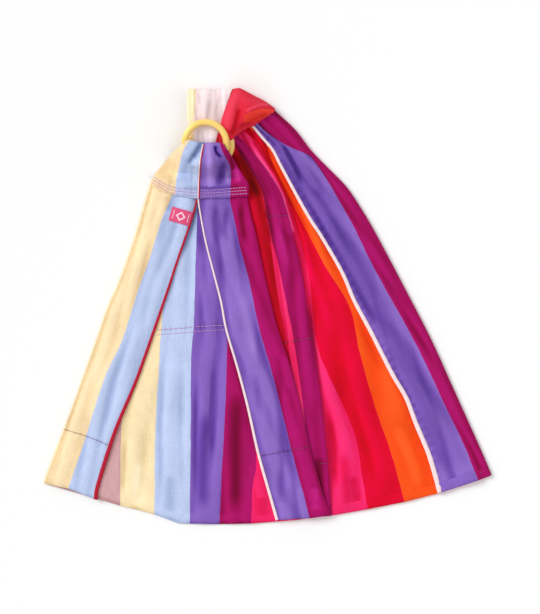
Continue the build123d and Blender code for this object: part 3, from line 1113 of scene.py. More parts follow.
@dataclass
class Tail:
    """The free tail: its face up on the left, its right edge folded over as a flap, hemmed at the end."""

    shop: Workshop
    rows: int = 190
    step: float = 3.2
    trim_steps: int = 260
    trim_widths: tuple = (3.8, 4.6, 7.4)  # at the neck, a little below it and at the hem
    trim_height: float = 2.6

    def guides(self) -> list[Guide]:
        """Lines down the tail's lower layer, left to right."""
        return [
            Guide(0.300, [(-72, 262), (-56, 225), (-36, 190), (-25, 150), (-12, 60), (0, 0), (15, -60),
                          (45, -163), (65, -235), (84, -306)]),
            Guide(0.350, [(-62, 266), (-38, 238), (-18, 203), (-2, 165), (12, 100), (22, 60), (34, 0),
                          (44, -60), (70, -163), (86, -235), (97, -313)]),
            Guide(0.400, [(-48, 270), (-28, 256), (-12, 240), (8, 203), (28, 165), (37, 140), (49, 100),
                          (58, 60), (64, 20), (68, -30), (74, -65), (84, -92), (118, -163), (133, -208),
                          (140, -256), (148, -304)]),
            Guide(0.450, [(-40, 274), (-20, 262), (-6, 248), (9, 211), (30, 166), (56, 118), (85, 62),
                          (113, 18), (126, -10), (132, -40), (137, -67), (148, -109), (163, -160),
                          (183, -217), (204, -293)]),
            Guide(0.500, [(-32, 280), (-20, 268), (-5, 251), (11, 234), (24, 210), (48, 164), (69, 128),
                          (86, 102), (115, 50), (134, 6), (158, -40), (189, -103), (210, -138), (225, -176),
                          (243, -219), (253, -251), (259, -279)]),
            Guide(0.555, [(-14, 290), (0, 276), (20, 250), (44, 215), (66, 185), (94, 148), (112, 116),
                          (140, 72), (166, 10), (200, -60), (236, -130), (270, -205), (298, -266)]),
            Guide(0.605, [(2, 299), (12, 290), (38, 264), (62, 233), (87, 207), (116, 177), (140, 141),
                          (161, 105), (197, 37), (239, -44), (276, -125), (315, -211), (333, -253)])]

    def flap_guides(self) -> list[Guide]:
        """Lines down the folded flap, from its fold to its free edge."""
        return [
            Guide(0.607, self.shop.lines.tail_fold),
            Guide(0.650, [(-18, 278), (-2, 262), (28, 242), (56, 230), (67, 223), (82, 202), (97, 178),
                          (112, 152), (127, 125), (160, 59), (202, -17), (234, -77), (263, -140),
                          (295, -207), (317, -260)]),
            Guide(0.700, self.shop.lines.tail_trim)]

    def creases(self) -> list[Crease]:
        """The lower layer's ridges and valleys."""
        return [
            Crease([(-29, 245), (-3, 213), (24, 159), (35, 126), (46, 86)], 5.5, 3.6),
            Crease([(84, -80), (100, -150), (115, -200), (125, -245)], 9, 3.0),
            Crease([(60, 10), (66, -50), (76, -110)], 6, -1.6),
            Crease([(10, 200), (32, 150), (52, 90), (62, 20)], 4, -2.2),
            Crease([(30, 200), (60, 135), (90, 78)], 5, 2.0),
            Crease([(95, 20), (112, -40), (140, -140), (170, -240)], 11, 1.8),
            Crease([(120, -120), (150, -220), (165, -285)], 8, -1.4),
            Crease([(-36, 262), (-10, 232), (16, 190)], 3.5, -4.0),
            Crease([(-18, 262), (6, 228), (34, 178), (60, 132)], 3.2, -3.2),
            Crease([(90, -150), (98, -210), (104, -280)], 6, -2.0),
            Crease([(128, -250), (134, -280), (136, -300)], 6, -1.8),
            Crease([(190, -170), (215, -230), (232, -280)], 9, 1.4)]

    def flap_creases(self) -> list[Crease]:
        """The flap's ridges and valleys."""
        return [
            Crease([(20, 250), (38, 213), (55, 175)], 4.5, -3.4),
            Crease([(42, 238), (58, 200), (78, 165)], 7, 2.2),
            Crease([(75, 90), (90, 68), (108, 46)], 6, 1.5),
            Crease([(110, 150), (150, 80), (190, 0)], 9, 1.5),
            Crease([(150, 118), (205, 5), (255, -95)], 6, -1.0),
            Crease([(185, -60), (225, -140), (262, -225)], 10, 1.3)]

    def shading(self) -> list[Crease]:
        """Lines of painted shade (above 0) and painted highlight (below 0) on the tail's dyes."""
        return [
            Crease([(14, 256), (34, 218), (54, 176), (70, 140)], 6, 0.5),
            Crease([(12, 240), (30, 206), (56, 160), (92, 102), (132, 34), (170, -40)], 7, 0.75, 0.1),
            Crease([(5, 250), (44, 205), (78, 156), (112, 92), (152, 18), (192, -62), (228, -135),
                    (266, -228)], 17, 0.40, 0.0),
            Crease([(-15, 256), (3, 219), (28, 172), (45, 132)], 4.0, 1.0, 0.2),
            Crease([(-44, 246), (-23, 201), (5, 144), (14, 100)], 6, 0.9, 0.2),
            Crease([(-30, 245), (-3, 207), (20, 168), (32, 132), (42, 96)], 3.4, -0.75, 0.15),
            Crease([(48, 100), (62, 60), (84, 0), (100, -50)], 8, -0.3),
            Crease([(112, -215), (118, -262), (122, -306)], 8, 0.6, 0.25),
            Crease([(2, 214), (24, 172), (34, 142), (52, 62), (64, -10), (71, -60)], 6, 0.55),
            Crease([(86, -128), (94, -180), (96, -240), (99, -300)], 9, 0.35),
            Crease([(-5, 245), (10, 212), (30, 175), (52, 128), (70, 92)], 6, 0.45),
            Crease([(128, 4), (140, -30), (160, -70), (180, -110)], 6, 0.3)]

    def build(self) -> bpy.types.Object:
        """Make the tail with its hem, binding and hem stitches.

        Returns:
            The cloth.
        """
        shop, ground = self.shop, self.shop.ground
        low = Patch.spread(self.guides(), self.rows, self.step, 0.0)
        ground.lay(low, Drape(loft=1.8, right=0.4, ripple=0.6, seed=4, gather=4.5, pleats=6, decay=130,
                              shapes=self.creases()))
        flap = Patch.spread(self.flap_guides(), self.rows, self.step, 1.0)
        trim = [Pucker(shop.lines.tail_trim, pitch=13.0, height=0.4, width=11.0)]
        ground.lay(flap, Drape(loft=2.2, left=1.6, right=0.3, ripple=0.6, seed=9, gather=3.0, pleats=3,
                               decay=90, shapes=self.flap_creases() + trim))
        arc = fold_arc(low, flap, Side.RIGHT)
        whole = low.beside(arc, flap)
        obj = shop.cloth("tail_cloth", [whole], "tail_panel", "tail_edge_flap", shade=self.shading())
        hem = self.hem(low, flap)
        edge = shop.on_cloth([(x - 0.4, y - 0.2) for x, y in shop.lines.tail_trim], self.trim_steps, 0.2)
        widths = np.interp(np.linspace(0, 1, self.trim_steps), [0, 0.15, 1], self.trim_widths)
        binding = piping("tail_binding", edge, widths, self.trim_height, shop.finishes["pink_binding"], 0.4)
        shop.settle(binding, "pink_binding", "tail_pink_binding")
        sewn = [shop.on_cloth([(98, -303), (149, -295), (204, -283), (256, -270)], 80, 0.15),
                shop.on_cloth([(268, -265), (316, -250), (331, -244)], 40, 0.15)]
        seam = shop.seams.rows("hem_stitches", sewn, shop.finishes["seam_thread"])
        shop.settle(seam, "thread", "tail_hem_stitching")
        return obj

    def hem(self, low: Patch, flap: Patch) -> bpy.types.Object:
        """The turned-up hem along the tail's end, on both layers.

        Args:
            low: the tail's lower layer.
            flap: its flap.

        Returns:
            A mesh object at the origin.
        """
        made = []
        for patch, lowest in ((low, 0.6), (flap, 2.2)):
            strip = Patch(patch.xyz[-5:].copy(), patch.uv[-5:].copy(), patch.reverse[-5:].copy())
            strip.xyz[..., 2] += self.shop.thickness + 0.15
            made.append(turned_under(strip, lowest, back=3.0, steps=4))
        obj = cloth_object("tail_hem_fold", made, self.shop.thickness, self.shop.finishes["striped_cloth"])
        return self.shop.settle(obj, "striped_cloth", "tail_hem")


@dataclass
class BodyReturn:
    """The layer of the body that lies under the front panel, with its right edge folded under."""

    shop: Workshop
    rows: int = 170
    step: float = 3.4

    def guides(self) -> list[Guide]:
        """Lines down the layer, left to right."""
        return [
            Guide(0.100, [(-95, 235), (-165, 180), (-190, 101), (-213, 36), (-247, -50), (-295, -183),
                          (-322, -256)]),
            Guide(0.300, [(-85, 235), (-108, 180), (-112, 80), (-116, -50), (-118, -180), (-118, -316)]),
            Guide(0.500, [(-70, 252), (-52, 190), (-38, 130), (-28, 60), (-22, -50), (-12, -180),
                          (-5, -316)]),
            Guide(0.5495, [(-63, 257), (-48, 238), (-27, 205), (-9, 171), (-2, 134), (4.5, 103), (8, 72),
                           (15, 20), (26, -50), (34, -150), (42, -235), (44, -316)]),
            Guide(0.600, [(-62.9, 257.1), (-47.9, 238.1), (-26.9, 205.1), (-8.9, 171.1), (-1.9, 134.1),
                          (4.7, 103.1), (13, 70), (24, 20), (29, -5), (38, -50), (52, -150), (60, -235),
                          (66, -316)]),
            Guide(0.632, self.shop.lines.return_edge)]

    def creases(self) -> list[Crease]:
        """The layer's ridges and valleys."""
        return [
            Crease([(-30, 225), (0, 165), (15, 110), (35, 30)], 7, 2.6),
            Crease([(-18, 210), (2, 150), (14, 90)], 4, -1.6),
            Crease([(45, 20), (60, -80), (72, -180)], 7, 1.4)]

    def puckers(self) -> list[Pucker]:
        """Waves along the layer's seams."""
        return [
            Pucker([(-2, 136), (14, 136), (29, 136)]),
            Pucker([(20, -56), (45, -51), (68, -47)])]

    def shading(self) -> list[Crease]:
        """Lines of painted shade (above 0) and painted highlight (below 0) on the layer's dyes."""
        return [
            Crease([(-30, 200), (-18, 150), (-5, 100), (6, 50), (18, -20), (36, -90), (55, -160)], 9, 0.8),
            Crease([(-54, 240), (-38, 212), (-20, 180), (-12, 150)], 11, 1.7, 0.25),
            Crease([(-20, 180), (-11, 148), (-3, 118), (5, 86)], 8, 1.0, 0.3),
            Crease([(-24, 218), (-4, 180), (6, 152)], 5, 0.7),
            Crease([(14, 128), (22, 100), (32, 50)], 7, -0.35),
            Crease([(76, -225), (80, -300)], 7, 0.8, 0.1),
            Crease([(60, 20), (66, -60)], 5, 0.3)]

    def build(self) -> bpy.types.Object:
        """Make the layer and its seam stitches.

        Returns:
            The cloth.
        """
        shop, ground = self.shop, self.shop.ground
        edge = shop.lines.return_edge
        inset = [(x - 30 * ease((240 - y) / 120), y) for x, y in edge]
        under = Patch.spread([Guide(0.632, [(x - 1.2, y) for x, y in edge]), Guide(0.662, inset)], self.rows,
                             self.step, 1.0)
        ground.lay(under, Drape(loft=0.3, left=0.2, ripple=0.1, seed=2))
        top = Patch.spread(self.guides(), self.rows, self.step, 1.0)
        ground.lay(top, Drape(loft=1.4, right=1.7, ripple=0.4, seed=5, gather=3.0, pleats=9, decay=90,
                              shapes=self.puckers() + self.creases()))
        arc = fold_arc(top, under, Side.RIGHT)
        whole = top.beside(arc, under)
        obj = shop.cloth("body_return_cloth", [whole], "body_return_panel", shade=self.shading())
        lines = [shop.on_cloth(p, 14, 0.15) for p in (
            [(5, 135.5), (17, 135.5), (29, 136)], [(26, -54), (46, -51), (67, -47)],
            [(80, -235), (86, -235), (90, -235)])]
        sewn = shop.seams.rows("return_stitches", lines, shop.finishes["seam_thread"])
        shop.settle(sewn, "thread", "body_seam_stitching")
        return obj


@dataclass
class FrontPanel:
    """The body's front: a centre layer with both edges folded over it, rolled under at the bottom."""

    shop: Workshop
    rows: int = 175
    step: float = 3.3

    def centre_guides(self) -> list[Guide]:
        """Lines down the centre layer, left to right."""
        lines = self.shop.lines
        return [
            Guide(0.098, lines.left_fold),
            Guide(0.150, [(-152, 188), (-166, 100), (-186, 30), (-204, -60), (-215, -130), (-220, -193),
                          (-221, -298)]),
            Guide(0.200, [(-136, 187), (-148, 100), (-157, 20), (-162, -43), (-166, -105), (-171, -197),
                          (-172, -310)]),
            Guide(0.234, [(-115, 187), (-120, 139), (-125, 31), (-128, -26), (-132, -82), (-134, -197),
                          (-135, -324)]),
            Guide(0.250, [(-106, 187), (-106, 139), (-110, 31), (-112, -26), (-116, -82), (-117, -197),
                          (-118, -325)]),
            Guide(0.300, [(-88, 187), (-75, 100), (-64, 0), (-61, -59), (-64, -151), (-69, -242),
                          (-73, -326)]),
            Guide(0.350, [(-70, 187), (-55, 100), (-38, 0), (-25, -100), (-17, -229), (-22, -265),
                          (-25, -325)]),
            Guide(0.399, [(-50, 187), (-38, 100), (-18, 0), (5, -100), (28, -229), (34, -265), (40, -320)]),
            Guide(0.625, lines.right_fold)]

    def left_guides(self) -> list[Guide]:
        """Lines down the left flap, from its free edge to its fold."""
        lines = self.shop.lines
        return [
            Guide(0.0, lines.red_edge),
            Guide(0.050, [(-136, 190), (-143, 163), (-157, 130), (-176, 70), (-193, 22), (-216, -50),
                          (-243, -108), (-270, -193), (-297, -273)]),
            Guide(0.098, lines.left_fold)]

    def right_guides(self) -> list[Guide]:
        """Lines down the right flap, from its fold to its free edge."""
        lines = self.shop.lines
        return [
            Guide(0.625, lines.right_fold),
            Guide(0.650, [(-55, 188), (-55, 158), (-49, 131), (-40, 89), (-26, 35), (-11, -35), (6, -92),
                          (22, -154), (37, -215), (52, -271), (64, -317)]),
            Guide(0.700, lines.pink_edge)]

    def centre_creases(self) -> list[Crease]:
        """The centre layer's ridges and valleys."""
        return [
            Crease([(-92, -70), (-96, -170), (-98, -300)], 9, 1.8),
            Crease([(-45, -140), (-45, -220), (-46, -318)], 6, -1.8),
            Crease([(-60, -150), (-60, -250), (-60, -315)], 7, 1.4),
            Crease([(-140, -60), (-145, -180), (-148, -300)], 10, 1.3),
            Crease([(-128, 60), (-130, 0), (-132, -60)], 8, 1.0),
            Crease([(-196, -170), (-197, -230), (-198, -292)], 8, 1.6),
            Crease([(-214, -190), (-215, -240), (-216, -290)], 5, -1.6),
            Crease([(-28, -230), (-12, -270), (-5, -315)], 6, 1.8),
            Crease([(-80, -60), (-84, -150), (-82, -240)], 7, -1.5),
            Crease([(-108, -90), (-108, -200), (-106, -315)], 6, -1.7),
            Crease([(-100, 60), (-92, 0), (-80, -70)], 6, 1.6),
            Crease([(-156, -70), (-160, -180), (-160, -300)], 6, -1.3),
            Crease([(-125, -90), (-128, -200), (-127, -310)], 7, -1.2),
            Crease([(-40, -60), (-34, -140), (-30, -215)], 6, -1.4)]

    def centre_shading(self) -> list[Crease]:
        """Lines of painted shade on the centre layer's dyes."""
        return [
            Crease([(-104, 166), (-109, 140), (-119, 112), (-134, 70)], 6, 1.6, 0.25),
            Crease([(-108, 172), (-108, 140), (-104, 110), (-92, 66)], 7, 0.55, 0.3),
            Crease([(-136, 66), (-168, -20), (-196, -100), (-228, -180), (-250, -260)], 6, 0.85, 0.1),
            Crease([(-86, 60), (-66, -10), (-50, -80), (-36, -130), (-20, -200), (-4, -265)], 5, 0.5),
            Crease([(-90, -150), (-97, -220), (-97, -310)], 9, 0.75, 0.2),
            Crease([(-46, -120), (-47, -200), (-48, -318)], 9, 1.0, 0.2),
            Crease([(-22, -150), (-14, -200), (-10, -230)], 7, 0.5),
            Crease([(-10, -285), (-8, -316)], 9, 0.35, 0.1),
            Crease([(-146, -250), (-146, -312)], 8, 0.5, 0.2)]

    def left_creases(self) -> list[Crease]:
        """The left flap's ridges and valleys."""
        return [
            Crease([(-160, 150), (-185, 85), (-205, 20)], 6, 1.5),
            Crease([(-215, -30), (-250, -120), (-285, -210)], 9, 1.5),
            Crease([(-150, 170), (-147, 140)], 7, -1.5, 0.3),
            Crease([(-240, -20), (-275, -110), (-308, -200)], 6, -1.2),
            Crease([(-128, 150), (-150, 90), (-172, 30)], 6, -1.2),
            Crease([(-185, -10), (-208, -80), (-228, -140)], 6, 1.2)]

    def right_creases(self) -> list[Crease]:
        """The right flap's ridges and valleys."""
        return [
            Crease([(-89, 107), (-72, 40), (-52, -50)], 7, -1.2),
            Crease([(-72, 130), (-52, 40), (-28, -60)], 9, 1.3),
            Crease([(-30, 60), (-6, -40), (20, -130)], 7, 1.2),
            Crease([(-60, 155), (-64, 120), (-58, 80)], 5, -1.8),
            Crease([(-82, 155), (-80, 120), (-72, 80)], 5, -1.5),
            Crease([(-42, 160), (-38, 125), (-30, 90)], 5, -2.0),
            Crease([(-4, -70), (18, -150), (38, -230)], 7, -1.2)]

    def right_shading(self) -> list[Crease]:
        """Lines of painted shade (above 0) and painted highlight (below 0) on the right flap's dyes."""
        return [
            Crease([(-80, 160), (-75, 128), (-68, 96)], 6, 0.55),
            Crease([(-43, 166), (-38, 126), (-29, 80)], 4.5, 0.5, 0.4),
            Crease([(-46, 40), (-30, -20), (-12, -90)], 8, -0.5),
            Crease([(70, -270), (76, -310)], 8, -0.3, 0.1)]

    def build(self) -> bpy.types.Object:
        """Make the panel, its bindings and its seam stitches.

        Returns:
            The cloth.
        """
        shop, ground = self.shop, self.shop.ground
        centre = Patch.spread(self.centre_guides(), self.rows, self.step, 0.0)
        middle = [(-170, -35), (-135, -33), (-100, -30), (-60, -28)]
        ground.lay(centre, Drape(loft=1.8, left=0.4, right=0.4, ripple=0.55, seed=6, gather=2.0, pleats=10,
                                 decay=60, shapes=self.centre_creases() + [Pucker(middle, height=0.5)]))
        # painted shade along the centre layer's valleys and painted shadow in the gap between its edge tapes
        for shade_line in self.centre_shading():
            centre.painted_shade = np.maximum(centre.painted_shade, shade_line.rise(centre.xy))
        # painted highlight low on the yellow stripe
        centre.painted_shade = centre.painted_shade + Crease([(-192, -230), (-196, -300)], 9, -0.45, 0.2).rise(centre.xy)
        left = Patch.spread(self.left_guides(), self.rows, self.step, 1.0)
        lseam = [(-305, -184), (-272, -194), (-240, -207)]
        ground.lay(left, Drape(loft=1.8, left=0.2, right=1.5, ripple=0.55, seed=7,
                               shapes=self.left_creases() + [Pucker(lseam)]))
        right = Patch.spread(self.right_guides(), self.rows, self.step, 1.0)
        rseam = [(-9, -224), (25, -217), (63, -210)]
        ground.lay(right, Drape(loft=1.8, left=1.5, right=0.2, ripple=0.55, seed=8,
                                shapes=self.right_creases() + [Pucker(rseam)]))
        # painted shade and painted highlight on the right flap
        for shade_line in self.right_shading():
            right.painted_shade = right.painted_shade + shade_line.rise(right.xy)
        arc_left = fold_arc(left, centre, Side.LEFT)
        arc_right = fold_arc(centre, right, Side.RIGHT)
        whole = left.beside(arc_left, centre, arc_right, right)
        whole = turned_under(whole, 1.4)
        obj = shop.cloth("front_cloth", [whole], "front_centre_panel", "front_left_flap", "front_right_flap")
        red = shop.on_cloth([(x - 0.6, y - 0.2) for x, y in shop.lines.red_edge], 240, 0.2)
        red_tape = piping("red_edge_tape", red, np.linspace(2.4, 6.2, 240), 2.4, shop.finishes["red_binding"])
        shop.settle(red_tape, "red_binding", "red_edge_binding")
        pink = shop.on_cloth([(x + 0.4, y) for x, y in shop.lines.pink_edge], 240, 0.2)
        pink_tape = piping("pink_edge_tape", pink, np.linspace(2.2, 4.6, 240), 2.4,
                           shop.finishes["pink_binding"])
        shop.settle(pink_tape, "pink_binding", "front_pink_binding")
        for name, node, sewing, thread, rows in (
                ("left_flap_stitches", "left_flap_seam_stitching", shop.seams, "seam_thread", [lseam]),
                ("right_flap_stitches", "right_flap_seam_stitching", shop.seams, "seam_thread", [rseam]),
                ("centre_stitches", "centre_seam_stitching", shop.stitching, "thread",
                 [[(-162, -35), (-135, -33), (-100, -30), (-66, -28)],
                  [(-163, -42), (-135, -40), (-100, -37), (-66, -35)]])):
            lines = [shop.on_cloth(p, 60, 0.15) for p in rows]
            shop.settle(sewing.rows(name, lines, shop.finishes[thread]), "thread", node)
        return obj


@dataclass
class RingLoop:
    """The end of the body cloth, passed through both rings and sewn down on itself."""

    shop: Workshop
    rows: int = 46
    step: float = 2.4
    crest: float = 36.6  # height of the cloth over the front ring's lower edge
    slant: float = 0.13  # the rings' own rise towards the shoulder
    fall: float = 1.02  # how steeply the cloth comes down from the ring
    flattest: float = 2.2  # how far a fold may dip below the taut cloth
    turn: float = 6.5  # radius of the turn over the ring
    middle: float = -86.0  # the line that the cloth gathers towards inside the rings

    def halves(self) -> list[list[Guide]]:
        """Lines down the two halves of the loop, from its turn to its sewn edge."""
        split = [(-96, 240.5), (-99, 225), (-101, 215), (-103, 190), (-104, 161)]
        return [
            [Guide(0.096, [(-124, 244), (-136, 235), (-150, 221), (-163, 206), (-171, 194), (-173, 181)]),
             Guide(0.074, [(-122, 245.5), (-131, 233), (-142, 215), (-153, 196), (-156, 172)]),
             Guide(0.050, [(-118, 243.5), (-124, 234), (-129, 218), (-134, 195), (-137, 166)]),
             Guide(0.000, split)],
            [Guide(0.700, split),
             Guide(0.680, [(-86, 240.5), (-84, 226), (-82, 212), (-81, 195), (-82, 162)]),
             Guide(0.650, [(-70, 240.5), (-67, 232), (-62, 222), (-56, 211), (-54, 195), (-55, 163)]),
             Guide(0.605, [(-64.5, 240), (-57, 230), (-50, 219), (-42, 205), (-34, 193), (-28.5, 183),
                           (-28.5, 165)])]]

    def raise_rings(self) -> None:
        """Make the rings' tops, and the slope that rests on them, part of the ground."""
        for node in ("rear_ring", "front_ring"):
            mesh = bpy.data.objects[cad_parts[node].name].data
            co = np.array([v.co for v in mesh.vertices]) / MM
            self.shop.ground.raise_to(co[co[:, 1] < 250])
        x, y = np.meshgrid(np.arange(-116, -68, 1.0), np.arange(212, 246, 1.0))
        self.shop.ground.raise_to(np.stack([x, y, 31.5 + (y - 213) * self.slant], axis=2))

    def creases(self) -> list[Crease]:
        """The loop's ridges and valleys."""
        return [
            Crease([(-97, 241), (-108, 226), (-121, 207)], 4.0, -4.8, 0.25),
            Crease([(-78, 240), (-71, 228), (-64, 216)], 3.6, -4.8, 0.25),
            Crease([(-69, 214), (-69, 196), (-68, 178)], 5.5, -3.0),
            Crease([(-112, 240), (-125, 214), (-140, 186)], 6.0, 2.4),
            Crease([(-88, 244), (-84, 215), (-84, 180)], 6.0, 2.8),
            Crease([(-52, 222), (-48, 196), (-42, 178)], 5.0, 2.0),
            Crease([(-104, 244), (-112, 220), (-118, 180)], 3.5, 2.2),
            Crease([(-92, 236), (-90, 214), (-92, 186)], 3.5, -1.6),
            Crease([(-60, 208), (-60, 190), (-58, 174)], 3.0, 1.8),
            Crease([(-118, 205), (-124, 190), (-126, 176)], 3.0, -1.6),
            Crease([(-152, 212), (-155, 198), (-158, 186)], 3.5, -2.0)]

    def puckers(self) -> list[Pucker]:
        """Waves along the loop's sewn edge."""
        return [
            Pucker([(-172, 190), (-155, 180), (-138, 173), (-104, 170), (-55, 173), (-31, 175)], pitch=8,
                   height=1.0, width=10),
            Pucker([(-172, 182), (-155, 173), (-138, 166), (-104, 163), (-55, 166), (-31, 168)], pitch=6,
                   height=0.6, width=5)]

    def shading(self) -> list[Crease]:
        """Lines of painted shade (above 0) and painted highlight (below 0) on the loop's dyes."""
        return [
            Crease([(-100, 243), (-104, 234), (-110, 225)], 4.6, 1.5, 0.0),
            Crease([(-104, 236), (-112, 223), (-121, 209)], 3.4, 1.3, 0.25),
            Crease([(-78, 241), (-76.5, 230), (-68, 222)], 2.0, 2.0, 0.2),
            Crease([(-65, 222), (-68, 206), (-71, 192), (-74, 177)], 5.0, 0.85, 0.3),
            Crease([(-58, 226), (-53, 214), (-52, 200)], 2.6, 0.8),
            Crease([(-88, 240), (-87, 215), (-86, 184)], 7.5, -0.55, 0.0),
            Crease([(-61, 206), (-59, 192), (-58, 180)], 3.0, -0.5),
            Crease([(-50, 212), (-45, 196), (-41, 182)], 6.0, -0.8),
            Crease([(-121, 232), (-122, 205), (-122, 180)], 9.0, 0.30, 0.2),
            Crease([(-144, 224), (-152, 205), (-156, 186)], 9.0, 0.28, 0.2),
            Crease([(-104, 228), (-108, 200), (-112, 180)], 5.0, -0.3),
            Crease([(-150, 205), (-146, 188), (-150, 180)], 5.0, 0.4),
            Crease([(-136, 222), (-142, 200), (-146, 182)], 3.0, 0.35),
            Crease([(-130, 178), (-104, 177), (-70, 178), (-40, 180)], 2.6, 0.5, 0.1)]

    def build(self) -> bpy.types.Object:
        """Make the loop with its rows of stitches.

        Returns:
            The cloth.
        """
        shop, ground = self.shop, self.shop.ground
        self.raise_rings()
        made, laid = [], []
        for guides in self.halves():
            front = Patch.spread(guides, self.rows, self.step, 1.0)
            self.tent(front, self.creases() + self.puckers())
            laid.append(front)
            made.append(self.turned_through(front))
        for front in laid:
            ground.add(front)
        obj = shop.cloth("ring_loop_cloth", made, settle=False, shade=self.shading())
        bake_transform(obj)
        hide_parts("ring_loop_front_ply", "ring_loop_apex", "ring_loop_rear_ply")
        for name, slot, shift, width in (("loop_pink_tape", "pink_binding", -0.5, 1.8),
                                         ("loop_red_tape", "red_binding", 1.0, 1.7)):
            line = shop.on_cloth([(-95.5 + shift, 241.5), (-98.5 + shift, 228), (-100.5 + shift, 214),
                                  (-102.5 + shift, 190), (-103.5 + shift, 162)], 90, 0.1)
            tape = piping(name, line, np.full(90, width), 1.5, shop.finishes[slot])
            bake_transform(tape)
        lines = []
        for k in range(3):
            rise = 4.5 * k
            row = [(-171 + k, 184 + rise), (-155, 175 + rise), (-138, 169 + rise), (-104, 165.5 + rise),
                   (-80, 165.5 + rise), (-55, 167.5 + rise), (-32 - k, 169 + rise)]
            lines.append(shop.on_cloth(row, 110, 0.25))
        sewn = shop.stitching.rows("loop_stitches", lines, shop.finishes["thread"])
        shop.settle(sewn, "thread", "loop_seam_stitching")
        return obj

    def tent(self, front: Patch, shapes: list) -> None:
        """Stretch a half of the loop from the ring down to its seam.

        Args:
            front: the half, whose heights and painted shade are set.
            shapes: its folds.
        """
        low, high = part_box("front_ring")
        middle = (np.array([low.x + high.x, low.y + high.y]) / 2) / MM
        reach = (high.x - low.x) / 2 / MM - 4.0
        base = self.shop.ground.support(front.xy, 2) + self.shop.thickness / 2 + 0.9
        past = np.linalg.norm(front.xy - middle, axis=2) - reach
        slope = self.crest + (front.xyz[..., 1] - 213) * self.slant - self.fall * np.maximum(past, 0)
        gap = np.abs(slope - base)
        z = np.maximum(slope, base) + 1.6 * np.exp(-gap / 4.0)
        relief = sum(shape.rise(front.xy) for shape in shapes)
        least = base + (np.maximum(base, z - self.flattest) - base) * (1 - ease((past - 1) / 12))
        front.xyz[..., 2] = np.maximum(z + relief, least)
        # painted shade in the loop's valleys and faint painted highlight on its ridges
        front.painted_shade = np.clip(valley_depth(z + relief) * 0.6, -0.15, 0.9)

    def turned_through(self, front: Patch) -> Patch:
        """The half with its upper rows rolled over and passed down through the rings' windows.

        Args:
            front: the half, laid from the rings to its seam.

        Returns:
            The longer patch.
        """
        edge, middle, radius = front.xyz[0], self.middle, self.turn
        rows, lengths = [], []
        for k in range(1, 7):
            angle = np.pi * k / 6
            row = edge.copy()
            draw = 1 - 0.16 * (1 - np.cos(angle))
            row[:, 0] = middle + (edge[:, 0] - middle) * draw
            row[:, 1] += radius * 0.55 * np.sin(angle)
            row[:, 2] -= radius * (1 - np.cos(angle))
            rows.append(row)
            lengths.append(radius * angle)
        top = rows[-1]
        for y, z, draw in ((236, 19, 0.8), (231, 13.5, 0.64), (223, 9.6, 0.58), (212, 8.3, 0.6),
                           (198, 8.0, 0.62)):
            row = top.copy()
            row[:, 0] = middle + (top[:, 0] - middle) * draw
            row[:, 1] = y
            row[:, 2] = z + 0.25 * np.sin(row[:, 0] * 0.9)
            lengths.append(lengths[-1] + float(np.linalg.norm(row[:, 1:] - rows[-1][:, 1:], axis=1).mean()))
            rows.append(row)
        more = np.stack(rows[::-1])
        v = front.uv[0, :, 1]
        uv = np.stack([np.column_stack([front.uv[0, :, 0], v - d * MM]) for d in lengths[::-1]])
        side = np.repeat(front.reverse[:1], len(rows), axis=0)
        return Patch(np.concatenate([more, front.xyz]), np.concatenate([uv, front.uv]),
                     np.concatenate([side, front.reverse]))


